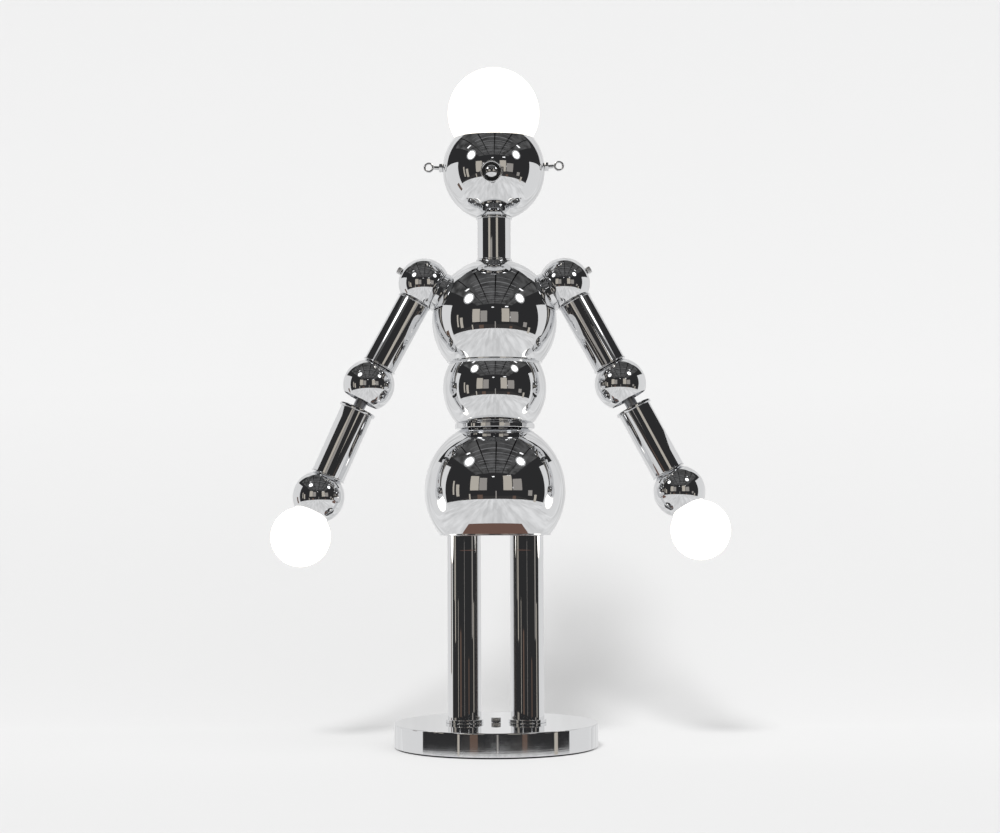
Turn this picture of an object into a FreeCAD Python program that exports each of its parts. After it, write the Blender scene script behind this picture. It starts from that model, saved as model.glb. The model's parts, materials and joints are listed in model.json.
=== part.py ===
# Robot shaped table lamp: chrome balls and tubes on a weighted round base, with three globe bulbs.
# Millimetres. Origin at the centre of the underside, +Z up, the nose faces -Y.
# Left is -X and right is +X, as seen from the front.
import FreeCAD
import Part
import Sketcher
import math
import os
import re

doc = FreeCAD.newDocument("robot_lamp")
sheet = doc.addObject("Spreadsheet::Sheet", "sizes")
places = doc.addObject("App::VarSet", "places")
frames = doc.addObject("App::VarSet", "frames")

# Driving sizes. Distances along an arm are measured from the centre of the ball that they name.
SIZES = {
    # weighted base
    "base_diameter": 250.0,
    "base_height": 30.0,
    "base_skin": 1.2,
    "base_top_skin": 1.5,
    "base_edge_chamfer": 0.8,
    "pad_inset": 3.0,
    "pad_height": 2.0,
    "weight_height": 12.0,
    "weight_gap": 0.6,
    "weight_boss_radius": 10.0,
    "wire_height": 21.0,
    "bushing_barrel_radius": 4.95,
    "bushing_bore_radius": 3.5,
    "bushing_flange_radius": 6.5,
    "bushing_flange_height": 1.5,
    "bushing_length": 9.0,
    # rotary switch and its knob on the base
    "base_switch_radius": 9.5,
    "base_switch_depth": 13.0,
    "base_thread_radius": 4.0,
    "base_knob_radius": 6.1,
    "base_knob_height": 5.8,
    "switch_shaft_radius": 1.5,
    "switch_shaft_depth": 9.0,
    "knob_flute_radius": 0.55,
    "knob_lift": 0.35,
    "knob_chamfer": 0.5,
    # legs and their tie rods
    "tube_diameter": 41.3,
    "tube_wall": 1.2,
    "leg_spacing": 77.2,
    "leg_length": 228.6,
    "leg_collar_diameter": 46.4,
    "leg_collar_height": 4.3,
    "tie_rod_radius": 4.0,
    "rod_nut_width": 13.0,
    "rod_nut_height": 5.0,
    "rod_nut_recess": 6.0,
    # stacked balls of the body
    "plate_flange": 2.0,
    "plate_spigot": 2.0,
    "plate_inset": 0.4,
    "hip_ball_diameter": 174.0,
    "hip_rim_drop": 53.1,
    "hip_top_rise": 76.4,
    "waist_ring_diameter": 98.6,
    "waist_ring_height": 6.5,
    "waist_ring_edge": 1.0,
    "waist_ball_diameter": 128.0,
    "waist_bottom_drop": 44.0,
    "waist_top_rise": 32.0,
    "chest_ball_diameter": 155.0,
    "chest_rim_drop": 49.8,
    "body_ball_wall": 1.2,
    # central clamping pipe
    "pipe_diameter": 13.2,
    "pipe_bore": 10.0,
    "pipe_above_head": 17.0,
    "locknut_width": 19.0,
    "locknut_height": 5.0,
    # neck and head
    "neck_length": 50.8,
    "neck_ring_diameter": 45.0,
    "neck_ring_height": 2.5,
    "head_ball_diameter": 127.4,
    "head_ball_wall": 1.0,
    "head_rim_rise": 39.4,
    "head_turn_angle": 2.6,
    "head_globe_radius": 57.0,
    "head_globe_rise": 71.5,
    # screw bases of the bulbs
    "bulb_base_radius": 13.0,
    "bulb_base_length": 24.0,
    "bulb_neck_radius": 16.0,
    "bulb_neck_share": 0.86,
    "socket_wall": 3.7,
    "socket_grip": 22.0,
    "socket_floor": 4.0,
    # nose button
    "nose_drop_angle": 12.3,
    "nose_bezel_radius": 13.2,
    "nose_recess_radius": 11.2,
    "nose_barrel_wall": 1.1,
    "nose_bezel_proud": 1.9,
    "nose_recess_depth": 5.0,
    "nose_barrel_length": 19.0,
    "nose_button_radius": 7.3,
    "nose_button_dome": 11.5,
    "nose_button_proud": 2.6,
    "nose_button_length": 13.6,
    "nose_travel": 2.5,
    "nose_flange_width": 1.5,
    "nose_flange_height": 1.0,
    "nose_lead_bend_at": 12.0,
    "nose_lead_reach": 20.0,
    "nose_lead_side": 22.9,
    # ear eye screws
    "ear_eye_reach": 81.6,
    "ear_rise_angle": 3.0,
    "ear_eye_outer": 13.0,
    "ear_wire": 2.8,
    "ear_shaft_radius": 2.4,
    "ear_shaft_inside": 8.0,
    "ear_nut_width": 10.0,
    "ear_nut_height": 4.8,
    # arms
    "joint_ball_diameter": 63.5,
    "joint_ball_wall": 1.0,
    "shoulder_reach": 99.2,
    "shoulder_lean": 28.3,
    "shoulder_cut": 19.6,
    "shoulder_face": 2.0,
    "swing_left": 3.0,
    "swing_right": 3.0,
    "bend_left": 4.4,
    "bend_right": 0.3,
    "collar_diameter": 50.0,
    "nipple_inside": 12.0,
    "nipple_outside": 8.1,
    "upper_tube_length": 88.9,
    "shoulder_seat": 27.2,
    "elbow_seat": 27.9,
    "cap_lip": 1.5,
    "cap_overhang": 0.95,
    "cap_plug": 10.6,
    "stud_radius": 6.5,
    "stud_bore": 4.2,
    "stud_end": 17.0,
    "arm_switch_radius": 8.0,
    "arm_switch_depth": 14.0,
    "arm_switch_standoff": 4.5,
    "arm_thread_radius": 3.2,
    "arm_knob_radius": 4.4,
    "arm_knob_height": 5.4,
    # elbows
    "elbow_mouth": 21.5,
    "fork_radius": 9.5,
    "fork_reach": 9.0,
    "fork_slot_depth": 12.0,
    "tongue_thickness": 7.0,
    "tongue_radius": 7.0,
    "elbow_neck_radius": 7.4,
    "elbow_neck_start": 14.0,
    "pin_radius": 3.0,
    "pin_length": 21.0,
    "pin_head_radius": 4.5,
    "pin_head_height": 2.0,
    # forearms and hands
    "forearm_start": 32.4,
    "forearm_flange_diameter": 46.0,
    "forearm_flange_height": 3.7,
    "forearm_tube_length": 86.5,
    "hand_seat": 28.5,
    "hand_mouth": 22.8,
    "hand_globe_radius": 36.5,
    "hand_globe_reach": 53.8,
    "hand_socket_top": 12.0,
    "hand_socket_boss_radius": 9.0,
    # wiring
    "lead_radius": 2.2,
    "lead_bend": 20.0,
    "lead_turn": 8.0,
    "lead_from_rod": 13.1,
    "lead_entry_low": 285.0,
    "lead_entry_high": 340.0,
    "lead_hole_radius": 3.5,
    # clearances
    "hole_play": 0.1,
    "running_play": 0.05,
    "turning_gap": 0.3,
    "seat_gap": 0.02,
    "fit_gap": 0.3,
    "split_gap": 0.2,
}

# Heights and other sizes that follow from the driving ones, in the order that they stack.
PLACES = {
    "tube_radius": "tube_diameter / 2",
    "tube_inside": "tube_radius - tube_wall",
    "leg_x": "leg_spacing / 2",
    "lead_x": "leg_x - lead_from_rod",
    "base_under_top": "base_height - base_top_skin",
    "weight_top": "pad_height + weight_height",
    "hip_plate_z": "base_height + leg_length",
    "hip_rim_z": "hip_plate_z + plate_flange",
    "hip_radius": "hip_ball_diameter / 2",
    "hip_z": "hip_rim_z + hip_rim_drop",
    "hip_top_z": "hip_z + hip_top_rise",
    "waist_bottom_z": "hip_top_z + waist_ring_height",
    "waist_radius": "waist_ball_diameter / 2",
    "waist_z": "waist_bottom_z + waist_bottom_drop",
    "waist_top_z": "waist_z + waist_top_rise",
    "chest_rim_z": "waist_top_z + plate_flange",
    "chest_radius": "chest_ball_diameter / 2",
    "chest_z": "chest_rim_z + chest_rim_drop",
    "ring_radius": "neck_ring_diameter / 2",
    "neck_bottom_z": "chest_z + sqrt(chest_radius ^ 2 - ring_radius ^ 2) + neck_ring_height",
    "neck_top_z": "neck_bottom_z + neck_length",
    "head_radius": "head_ball_diameter / 2",
    "head_seat_radius": "head_radius + turning_gap",
    "head_z": "neck_top_z + neck_ring_height + sqrt(head_seat_radius ^ 2 - ring_radius ^ 2)",
    "pipe_radius": "pipe_diameter / 2",
    "pipe_top_z": "head_z - head_radius + head_ball_wall + pipe_above_head",
    "nut_corner": "locknut_width / sqrt(3)",
    "joint_radius": "joint_ball_diameter / 2",
    "joint_inside": "joint_radius - joint_ball_wall",
    "stud_nut_seat": "sqrt(joint_inside ^ 2 - nut_corner ^ 2) - fit_gap",
    "fork_top": "stud_nut_seat - locknut_height - fit_gap",
    "elbow_drop": "shoulder_seat + upper_tube_length + elbow_seat",
    "forearm_tube_start": "forearm_start + forearm_flange_height",
    "forearm_tube_end": "forearm_tube_start + forearm_tube_length",
    "hand_drop": "forearm_tube_end + hand_seat",
    "socket_radius": "bulb_base_radius + socket_wall",
    "split_x": "shoulder_reach - shoulder_cut + shoulder_face + nipple_outside",
}

# Frames of the pieces that lie at an angle. An arm's X runs out along its shoulder pivot and its -Z runs
# down the arm. Each elbow is bent a little about the arm's Y, as the lamp's arms happen to hang, and the
# head is turned a little to the left.
FRAMES = {
    "pivot_right": "placement(vector(0; 0; chest_z); rotation(0; -shoulder_lean; 0))",
    "pivot_left": "placement(vector(0; 0; chest_z); rotation(180; -shoulder_lean; 0))",
    "arm_right":
        "frames.pivot_right * placement(vector(shoulder_reach; 0; 0); rotation(0; 0; -swing_right))",
    "arm_left":
        "frames.pivot_left * placement(vector(shoulder_reach; 0; 0); rotation(0; 0; swing_left))",
    "elbow_right": "frames.arm_right * placement(vector(0; 0; -elbow_drop); rotation(0; 0; 0))",
    "elbow_left": "frames.arm_left * placement(vector(0; 0; -elbow_drop); rotation(0; 0; 0))",
    "forearm_right": "frames.elbow_right * placement(vector(0; 0; 0); rotation(0; bend_right; 0))",
    "forearm_left": "frames.elbow_left * placement(vector(0; 0; 0); rotation(0; bend_left; 0))",
    "nose": "placement(vector(0; 0; head_z); rotation(-head_turn_angle; 0; 90 + nose_drop_angle))",
    "ear_right": "placement(vector(0; 0; head_z); rotation(-head_turn_angle; -ear_rise_angle; 0))",
    "ear_left": "placement(vector(0; 0; head_z); rotation(180 - head_turn_angle; -ear_rise_angle; 0))",
}


def formula(text):
    """Writes the sheet's or the variable set's name in front of each size that a formula names."""
    def full(match):
        word = match.group(0)
        if word in SIZES:
            return "sizes." + word
        return "places." + word if word in PLACES else word

    return re.sub(r"(?<![\w.])[a-z_]+(?![\w(])", full, str(text))


for row, (alias, value) in enumerate(SIZES.items(), start=1):
    sheet.set("A%d" % row, alias)
    sheet.set("B%d" % row, str(value))
    sheet.setAlias("B%d" % row, alias)
doc.recompute()
for alias, text in PLACES.items():
    places.addProperty("App::PropertyFloat", alias, "Places")
    places.setExpression(alias, formula(text))
for alias, text in FRAMES.items():
    frames.addProperty("App::PropertyPlacement", alias, "Frames")
    frames.setExpression(alias, formula(text))
doc.recompute()


def number(text):
    """The present value of a formula."""
    return float(sheet.evalExpression(formula(text)))


# Solids made from primitives. A position or size is a formula in the sheet's sizes.
TURNS = {
    "x": "rotation(vector(0; 1; 0); 90)",
    "y": "rotation(vector(1; 0; 0); -90)",
    "z": "rotation(0; 0; 0)",
}


def place(obj, start, across, axis):
    """Puts a primitive's base at start along an axis, with across giving its two other coordinates."""
    u, v = across
    spot = {"x": (start, u, v), "y": (u, start, v), "z": (u, v, start)}[axis]
    vector = "vector(%s; %s; %s)" % spot
    obj.setExpression("Placement", formula("placement(%s; %s)" % (vector, TURNS[axis])))
    return obj


def cylinder(name, radius, start, end, across=("0", "0"), axis="z"):
    obj = doc.addObject("Part::Cylinder", name)
    obj.setExpression("Radius", formula(radius))
    obj.setExpression("Height", formula("(%s) - (%s)" % (end, start)))
    return place(obj, start, across, axis)


def cone(name, radius_start, radius_end, start, end, across=("0", "0"), axis="z"):
    obj = doc.addObject("Part::Cone", name)
    obj.setExpression("Radius1", formula(radius_start))
    obj.setExpression("Radius2", formula(radius_end))
    obj.setExpression("Height", formula("(%s) - (%s)" % (end, start)))
    return place(obj, start, across, axis)


def hexagon(name, width, start, end, across=("0", "0"), axis="z"):
    obj = doc.addObject("Part::Prism", name)
    obj.Polygon = 6
    obj.setExpression("Circumradius", formula("(%s) / sqrt(3)" % width))
    obj.setExpression("Height", formula("(%s) - (%s)" % (end, start)))
    return place(obj, start, across, axis)


def ball(name, radius, low=None, high=None, centre="0", axis="z"):
    """A ball, cut flat at low and high, which are distances from its centre along the axis."""
    obj = doc.addObject("Part::Sphere", name)
    obj.setExpression("Radius", formula(radius))
    if low is not None:
        obj.setExpression("Angle1", formula("asin((%s) / (%s))" % (low, radius)))
    if high is not None:
        obj.setExpression("Angle2", formula("asin((%s) / (%s))" % (high, radius)))
    return place(obj, centre, ("0", "0"), axis)


def block(name, size, corner):
    obj = doc.addObject("Part::Box", name)
    for side, text in zip(("Length", "Width", "Height"), size):
        obj.setExpression(side, formula(text))
    return place(obj, corner[2], corner[:2], "z")


def cut(name, base, *tools):
    for count, tool in enumerate(tools, start=1):
        last = count == len(tools)
        obj = doc.addObject("Part::Cut", name if last else "%s_cut%d" % (name, count))
        obj.Base = base
        obj.Tool = tool
        base = obj
    return base


def fuse(name, *parts):
    obj = doc.addObject("Part::MultiFuse", name)
    obj.Shapes = list(parts)
    return obj


def group(name, *parts):
    obj = doc.addObject("Part::Compound", name)
    obj.Links = list(parts)
    return obj


def origin_plane(body, role):
    return next(f for f in body.Origin.OriginFeatures if f.Role == role)


def turned(name, outline):
    """A body turned about Z from a closed outline of (radius, height) corners."""
    body = doc.addObject("PartDesign::Body", name)
    sketch = body.newObject("Sketcher::SketchObject", name + "_outline")
    sketch.AttachmentSupport = [(origin_plane(body, "XZ_Plane"), "")]
    sketch.MapMode = "FlatFace"
    corners = [FreeCAD.Vector(number(r), number(z), 0) for r, z in outline]
    count = len(corners)
    for i in range(count):
        sketch.addGeometry(Part.LineSegment(corners[i], corners[(i + 1) % count]), False)
    for i in range(count):
        sketch.addConstraint(Sketcher.Constraint("Coincident", i, 2, (i + 1) % count, 1))
    for i, (r, z) in enumerate(outline):
        for kind, text in (("DistanceX", r), ("DistanceY", z)):
            value = number(text)
            if text == "0":
                axis = -2 if kind == "DistanceX" else -1
                sketch.addConstraint(Sketcher.Constraint("PointOnObject", i, 1, axis))
                continue
            index = sketch.addConstraint(Sketcher.Constraint(kind, -1, 1, i, 1, value))
            sketch.setExpression("Constraints[%d]" % index, formula(text))
    revolution = body.newObject("PartDesign::Revolution", name + "_turn")
    revolution.Profile = sketch
    revolution.ReferenceAxis = (sketch, ["V_Axis"])
    revolution.Angle = 360
    sketch.Visibility = False
    return body


def round_pad(body, name, radius, height, at=("0", "0")):
    """A circle in the body's XY plane, ready to pad or to pocket."""
    sketch = body.newObject("Sketcher::SketchObject", name)
    sketch.AttachmentSupport = [(origin_plane(body, "XY_Plane"), "")]
    sketch.MapMode = "FlatFace"
    centre = FreeCAD.Vector(number(at[0]), 0, 0)
    sketch.addGeometry(Part.Circle(centre, FreeCAD.Vector(0, 0, 1), number(radius)), False)
    index = sketch.addConstraint(Sketcher.Constraint("Radius", 0, number(radius)))
    sketch.setExpression("Constraints[%d]" % index, formula(radius))
    sketch.addConstraint(Sketcher.Constraint("PointOnObject", 0, 3, -1))
    if at[0] == "0":
        sketch.addConstraint(Sketcher.Constraint("PointOnObject", 0, 3, -2))
    else:
        index = sketch.addConstraint(Sketcher.Constraint("DistanceX", -1, 1, 0, 3, centre.x))
        sketch.setExpression("Constraints[%d]" % index, formula(at[0]))
    kind = "PartDesign::Pad" if height else "PartDesign::Pocket"
    feature = body.newObject(kind, name + "_solid")
    feature.Profile = sketch
    if height:
        feature.setExpression("Length", formula(height))
    else:
        feature.Type = "ThroughAll"
        feature.Reversed = True
    return feature


def fluted_knob(name, radius, height, flutes):
    """A round knob with flutes milled along its side, its underside in the XY plane."""
    body = doc.addObject("PartDesign::Body", name)
    blank = round_pad(body, name + "_blank", radius, height)
    doc.recompute()
    top = [i for i, f in enumerate(blank.Shape.Faces, 1) if f.CenterOfMass.z > number(height) * 0.9]
    chamfer = body.newObject("PartDesign::Chamfer", name + "_chamfer")
    chamfer.Base = (blank, ["Face%d" % top[0]])
    chamfer.setExpression("Size", "sizes.knob_chamfer")
    flute = round_pad(body, name + "_flute", "knob_flute_radius", None, at=(radius, "0"))
    doc.recompute()
    pattern = body.newObject("PartDesign::PolarPattern", name + "_flutes")
    pattern.Originals = [flute]
    pattern.Axis = (origin_plane(body, "Z_Axis"), [""])
    pattern.Angle = 360
    pattern.Occurrences = flutes
    body.Tip = pattern
    doc.recompute()
    return body


PIECES = []


def piece(label, obj, frame=None):
    """Names a finished piece, and puts it in the frame that it belongs to."""
    if frame:
        if obj.TypeId in ("Part::Cylinder", "Part::Sphere", "Part::Prism"):
            obj = group(obj.Name + "_set", obj)
        obj.setExpression("Placement", "frames." + frame)
    obj.Label = label
    PIECES.append(obj)
    return obj


# Base: pad, cast weight, chrome cover, switch, knob and the bushing where a mains cord would come in
base_radius = "base_diameter / 2"
rod_hole = "tie_rod_radius + hole_play"
piece("base_pad", cylinder("base_pad", base_radius + " - pad_inset", "0", "pad_height"))

weight = cylinder(
    "weight_disc", base_radius + " - base_skin - weight_gap", "pad_height", "weight_top"
)
bosses = [
    cylinder("weight_boss" + s, "weight_boss_radius", "pad_height", "base_under_top", (s + "leg_x", "0"))
    for s in "-+"
]
rod_holes = [cylinder("weight_hole" + s, rod_hole, "0", "base_height", (s + "leg_x", "0")) for s in "-+"]
recesses = [
    cylinder("weight_recess" + s, "rod_nut_width / sqrt(3) + 1", "0", "pad_height + rod_nut_recess",
             (s + "leg_x", "0"))
    for s in "-+"
]
piece("base_weight", cut("base_weight", fuse("weight_casting", weight, *bosses), *rod_holes, *recesses))

cover = turned("cover", [
    (base_radius, "pad_height"),
    (base_radius, "base_height - base_edge_chamfer"),
    (base_radius + " - base_edge_chamfer", "base_height"),
    ("0", "base_height"),
    ("0", "base_under_top"),
    (base_radius + " - base_skin", "base_under_top"),
    (base_radius + " - base_skin", "pad_height"),
])
cover_holes = [
    cylinder("cover_hole" + s, rod_hole, "0", "base_height + 1", (s + "leg_x", "0")) for s in "-+"
]
piece("base_shell", cut(
    "base_shell", cover, *cover_holes,
    cylinder("cover_switch_hole", "base_thread_radius + hole_play", "weight_top", "base_height + 1"),
    cylinder("cover_lead_hole", "lead_hole_radius", "weight_top", "base_height + 1", ("-lead_x", "0")),
    cylinder("cover_cord_hole", "bushing_barrel_radius + hole_play", "0", base_radius + " + 1",
             ("0", "wire_height"), "y"),
))

piece("cord_bushing", cut(
    "cord_bushing",
    fuse("bushing_solid",
         cylinder("bushing_barrel", "bushing_barrel_radius", base_radius + " - bushing_length",
                  base_radius + " + 0.1", ("0", "wire_height"), "y"),
         cylinder("bushing_flange", "bushing_flange_radius", base_radius,
                  base_radius + " + bushing_flange_height", ("0", "wire_height"), "y")),
    cylinder("bushing_hole", "bushing_bore_radius", base_radius + " - bushing_length - 1",
             base_radius + " + bushing_flange_height + 1", ("0", "wire_height"), "y"),
))

shaft_hole = "switch_shaft_radius + running_play"
piece("base_switch", cut(
    "base_switch",
    fuse("base_switch_solid",
         cylinder("base_switch_body", "base_switch_radius", "base_under_top - base_switch_depth",
                  "base_under_top"),
         cylinder("base_switch_thread", "base_thread_radius", "base_under_top - 1", "base_height + 0.1")),
    cylinder("base_switch_bore", shaft_hole, "base_height - switch_shaft_depth - 1", "base_height + 1"),
))


def switch_knob(name, radius, height, flutes):
    """A fluted knob and its shaft, along +Z from the panel that the switch is fixed to."""
    body = fluted_knob(name + "_cap", radius, height, flutes)
    body.setExpression("Placement", formula("placement(vector(0; 0; knob_lift); rotation(0; 0; 0))"))
    shaft = cylinder(name + "_shaft", "switch_shaft_radius", "-switch_shaft_depth", "knob_lift + 1")
    return fuse(name + "_solid", body, shaft)


base_knob = switch_knob("base_knob", "base_knob_radius", "base_knob_height", 24)
base_knob.setExpression("Placement", formula("placement(vector(0; 0; base_height); rotation(0; 0; 0))"))
piece("base_knob", base_knob)

# Legs: tubes, the tie rods and nuts inside them, and the thin rings at the tubes' ends
leg_tubes = []
tie_rods = []
collars = []
for s in "-+":
    at = (s + "leg_x", "0")
    leg_tubes.append(cut(
        "leg_tube" + s,
        cylinder("leg_outer" + s, "tube_radius", "base_height", "hip_plate_z", at),
        cylinder("leg_inner" + s, "tube_inside", "base_height - 1", "hip_plate_z + 1", at),
    ))
    plate_top = "hip_rim_z + plate_spigot"
    tie_rods.append(cylinder("tie_rod" + s, "tie_rod_radius", "pad_height + 1",
                             plate_top + " + rod_nut_height + 2", at))
    for where, low in (("low", "pad_height + rod_nut_recess - rod_nut_height"), ("high", plate_top)):
        name = "rod_nut_%s%s" % (where, s)
        tie_rods.append(cut(
            name,
            hexagon(name + "_blank", "rod_nut_width", low, low + " + rod_nut_height", at),
            cylinder(name + "_hole", rod_hole, low + " - 1", low + " + rod_nut_height + 1", at),
        ))
    collars.append(cut(
        "leg_collar" + s,
        cylinder("collar_outer" + s, "leg_collar_diameter / 2", "base_height",
                 "base_height + leg_collar_height", at),
        cylinder("collar_inner" + s, "tube_radius + seat_gap", "base_height - 1",
                 "base_height + leg_collar_height + 1", at),
    ))
piece("leg_tubes", group("leg_tubes", *leg_tubes))
piece("leg_rods", group("leg_rods", *tie_rods))

ring_bottom = cut(
    "neck_ring_low",
    cylinder("ring_low_disc", "ring_radius", "neck_bottom_z - 2 * neck_ring_height", "neck_bottom_z"),
    ball("ring_low_seat", "chest_radius + seat_gap", centre="chest_z"),
    cylinder("ring_low_bore", "tube_inside", "neck_bottom_z - 10", "neck_bottom_z + 1"),
)
ring_top = cut(
    "neck_ring_high",
    cylinder("ring_high_disc", "ring_radius", "neck_top_z", "neck_top_z + neck_ring_height"),
    ball("ring_high_seat", "head_seat_radius", centre="head_z"),
    cylinder("ring_high_bore", "tube_inside", "neck_top_z - 1", "neck_top_z + 10"),
)
piece("tube_rings", group("tube_rings", *collars, ring_bottom, ring_top))

# Body: plates, truncated balls and spacer ring, clamped by one pipe
pipe_hole = "pipe_radius + hole_play"


def rim(radius, height):
    """The radius of a ball of that radius where a plane cuts it at that height from its centre."""
    return "sqrt((%s) ^ 2 - (%s) ^ 2)" % (radius, height)


def stepped_plate(name, low, outer_radius, inner_radius):
    """A plate whose flange lies under a ball's rim and whose spigot centres it inside the rim."""
    return turned(name, [
        (outer_radius, low),
        (outer_radius, low + " + plate_flange"),
        (inner_radius, low + " + plate_flange"),
        (inner_radius, low + " + plate_flange + plate_spigot"),
        (pipe_hole, low + " + plate_flange + plate_spigot"),
        (pipe_hole, low),
    ])


def shell(name, radius, wall, centre, low=None, high=None, axis="z"):
    """A thin ball, open where low or high cuts it."""
    outer = ball(name + "_outer", radius, low, high, centre, axis)
    inner = ball(name + "_inner", "%s - %s" % (radius, wall), low, high, centre, axis)
    return cut(name + "_shell", outer, inner)


hip_plate = stepped_plate(
    "hip_disc", "hip_plate_z", rim("hip_radius", "hip_rim_drop") + " - plate_inset",
    rim("hip_radius - body_ball_wall", "hip_rim_drop") + " - fit_gap",
)
piece("hip_plate", cut(
    "hip_plate", hip_plate,
    *[cylinder("hip_rod_hole" + s, rod_hole, "hip_plate_z - 1", "hip_plate_z + 10", (s + "leg_x", "0"))
      for s in "-+"],
    cylinder("hip_lead_hole", "lead_hole_radius", "hip_plate_z - 1", "hip_plate_z + 10", ("-lead_x", "0")),
))
hip_wall = shell("hip_ball", "hip_radius", "body_ball_wall", "hip_z", "-hip_rim_drop", "hip_top_rise")
piece("hip_ball", hip_wall)
ring_edge = "waist_ring_diameter / 2 - waist_ring_edge"
piece("waist_ring", turned("waist_ring", [
    (pipe_hole, "hip_top_z"),
    (ring_edge, "hip_top_z"),
    ("waist_ring_diameter / 2", "hip_top_z + waist_ring_edge"),
    ("waist_ring_diameter / 2", "waist_bottom_z - waist_ring_edge"),
    (ring_edge, "waist_bottom_z"),
    (pipe_hole, "waist_bottom_z"),
]))
piece("waist_ball", shell(
    "waist_ball", "waist_radius", "body_ball_wall", "waist_z", "-waist_bottom_drop", "waist_top_rise"
))
piece("chest_plate", stepped_plate(
    "chest_plate", "waist_top_z", rim("chest_radius", "chest_rim_drop") + " - plate_inset",
    rim("chest_radius - body_ball_wall", "chest_rim_drop") + " - fit_gap",
))


def along_pivot(name, side, solid):
    """A copy of a tool that lies along one shoulder's pivot, in the stand's own frame."""
    turned_tool = group(name + "_" + side, solid)
    turned_tool.setExpression("Placement", "frames.pivot_" + side)
    return turned_tool


pivot_holes = [
    along_pivot("nipple_hole", side, cylinder("nipple_hole_tool_" + side, pipe_hole, "0", "shoulder_reach",
                                              axis="x"))
    for side in ("left", "right")
]
piece("chest_ball", cut(
    "chest_ball",
    shell("chest", "chest_radius", "body_ball_wall", "chest_z", "-chest_rim_drop"),
    cylinder("chest_top_hole", pipe_hole, "chest_z", "chest_z + chest_ball_diameter"),
    *pivot_holes,
))
piece("neck_tube", cut(
    "neck_tube",
    cylinder("neck_outer", "tube_radius", "neck_bottom_z", "neck_top_z"),
    cylinder("neck_inner", "tube_inside", "neck_bottom_z - 1", "neck_top_z + 1"),
))

lead_slope = "atan2(lead_x; lead_entry_high - lead_entry_low)"
lead_slope_length = "sqrt(lead_x ^ 2 + (lead_entry_high - lead_entry_low) ^ 2)"
lead_slot = cylinder("lead_slot", "lead_hole_radius", "0", lead_slope_length)
lead_slot.setExpression("Placement", formula(
    "placement(vector(-lead_x; 0; lead_entry_low); rotation(vector(0; 1; 0); %s))" % lead_slope
))
branch_holes = [
    along_pivot("branch_hole", side, cylinder("branch_hole_tool_" + side, "lead_hole_radius", "0",
                                              "pipe_diameter", axis="x"))
    for side in ("left", "right")
]
piece("torso_pipe", cut(
    "torso_pipe",
    cylinder("pipe_outer", "pipe_radius", "hip_plate_z", "pipe_top_z"),
    cylinder("pipe_inner", "pipe_bore / 2", "hip_plate_z - 1", "pipe_top_z + 1"),
    lead_slot, *branch_holes,
))


def locknut(name, start, bore, axis="z"):
    """A hexagon locknut from start along an axis."""
    return cut(
        name,
        hexagon(name + "_blank", "locknut_width", start, "(%s) + locknut_height" % start, axis=axis),
        cylinder(name + "_bore", bore, "(%s) - 1" % start, "(%s) + locknut_height + 1" % start, axis=axis),
    )


# Shoulders on the chest: collars, hollow nipples that the arms turn on, and their locknuts
chest_nut = "sqrt((chest_radius - body_ball_wall) ^ 2 - nut_corner ^ 2) - fit_gap - locknut_height"
ball_nut = "shoulder_reach - shoulder_cut + shoulder_face + fit_gap"
head_nut = "head_z - sqrt((head_radius - head_ball_wall) ^ 2 - nut_corner ^ 2) + fit_gap"
nuts = [
    locknut("pipe_nut_low", "hip_rim_z + plate_spigot", pipe_hole),
    locknut("pipe_nut_high", head_nut, pipe_hole),
]
shoulder_collars = []
nipples = []
for side in ("left", "right"):
    nuts.append(along_pivot("chest_nut_set", side, locknut("chest_nut_" + side, chest_nut, pipe_hole, "x")))
    nuts.append(along_pivot("ball_nut_set", side, locknut("ball_nut_" + side, ball_nut, pipe_hole, "x")))
    shoulder_collars.append(along_pivot("collar_set", side, cut(
        "collar_" + side,
        cylinder("collar_disc_" + side, "collar_diameter / 2", "chest_radius / 2",
                 "shoulder_reach - shoulder_cut - turning_gap", axis="x"),
        ball("collar_seat_" + side, "chest_radius + seat_gap"),
        cylinder("collar_bore_" + side, pipe_hole, "0", "shoulder_reach", axis="x"),
    )))
    nipples.append(along_pivot("nipple_set", side, cut(
        "nipple_" + side,
        cylinder("nipple_rod_" + side, "pipe_radius", "chest_radius - nipple_inside", "split_x", axis="x"),
        cylinder("nipple_bore_" + side, "stud_bore", "0", "shoulder_reach", axis="x"),
    )))
piece("locknuts", group("locknuts", *nuts))
piece("shoulder_collars", group("shoulder_collars", *shoulder_collars))
piece("shoulder_nipples", group("shoulder_nipples", *nipples))


# Bulbs and sockets. A socket lies along +Z from its boss, and its bulb's globe is further along.
def socket(name, boss_radius, bore, boss_length):
    """A screw socket: a boss on the pipe, then a cup for the bulb's base."""
    floor = "%s + socket_floor" % boss_length
    lip = "%s + socket_grip" % floor
    return turned(name, [
        (bore, "0"), (boss_radius, "0"), (boss_radius, boss_length), ("socket_radius", boss_length),
        ("socket_radius", lip), ("bulb_base_radius + fit_gap", lip), ("bulb_base_radius + fit_gap", floor),
        (bore, floor),
    ])


def bulb(name, globe_radius, globe_z, base_z):
    """A globe bulb: a ball of glass, a cone of neck and a screw base."""
    return fuse(
        name,
        ball(name + "_globe", globe_radius, centre=globe_z),
        cone(name + "_neck", "bulb_base_radius", "bulb_neck_radius",
             "(%s) + bulb_base_length" % base_z, "(%s) - (%s) * bulb_neck_share" % (globe_z, globe_radius)),
        cylinder(name + "_base", "bulb_base_radius", base_z, "(%s) + bulb_base_length + 0.1" % base_z),
    )


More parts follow.
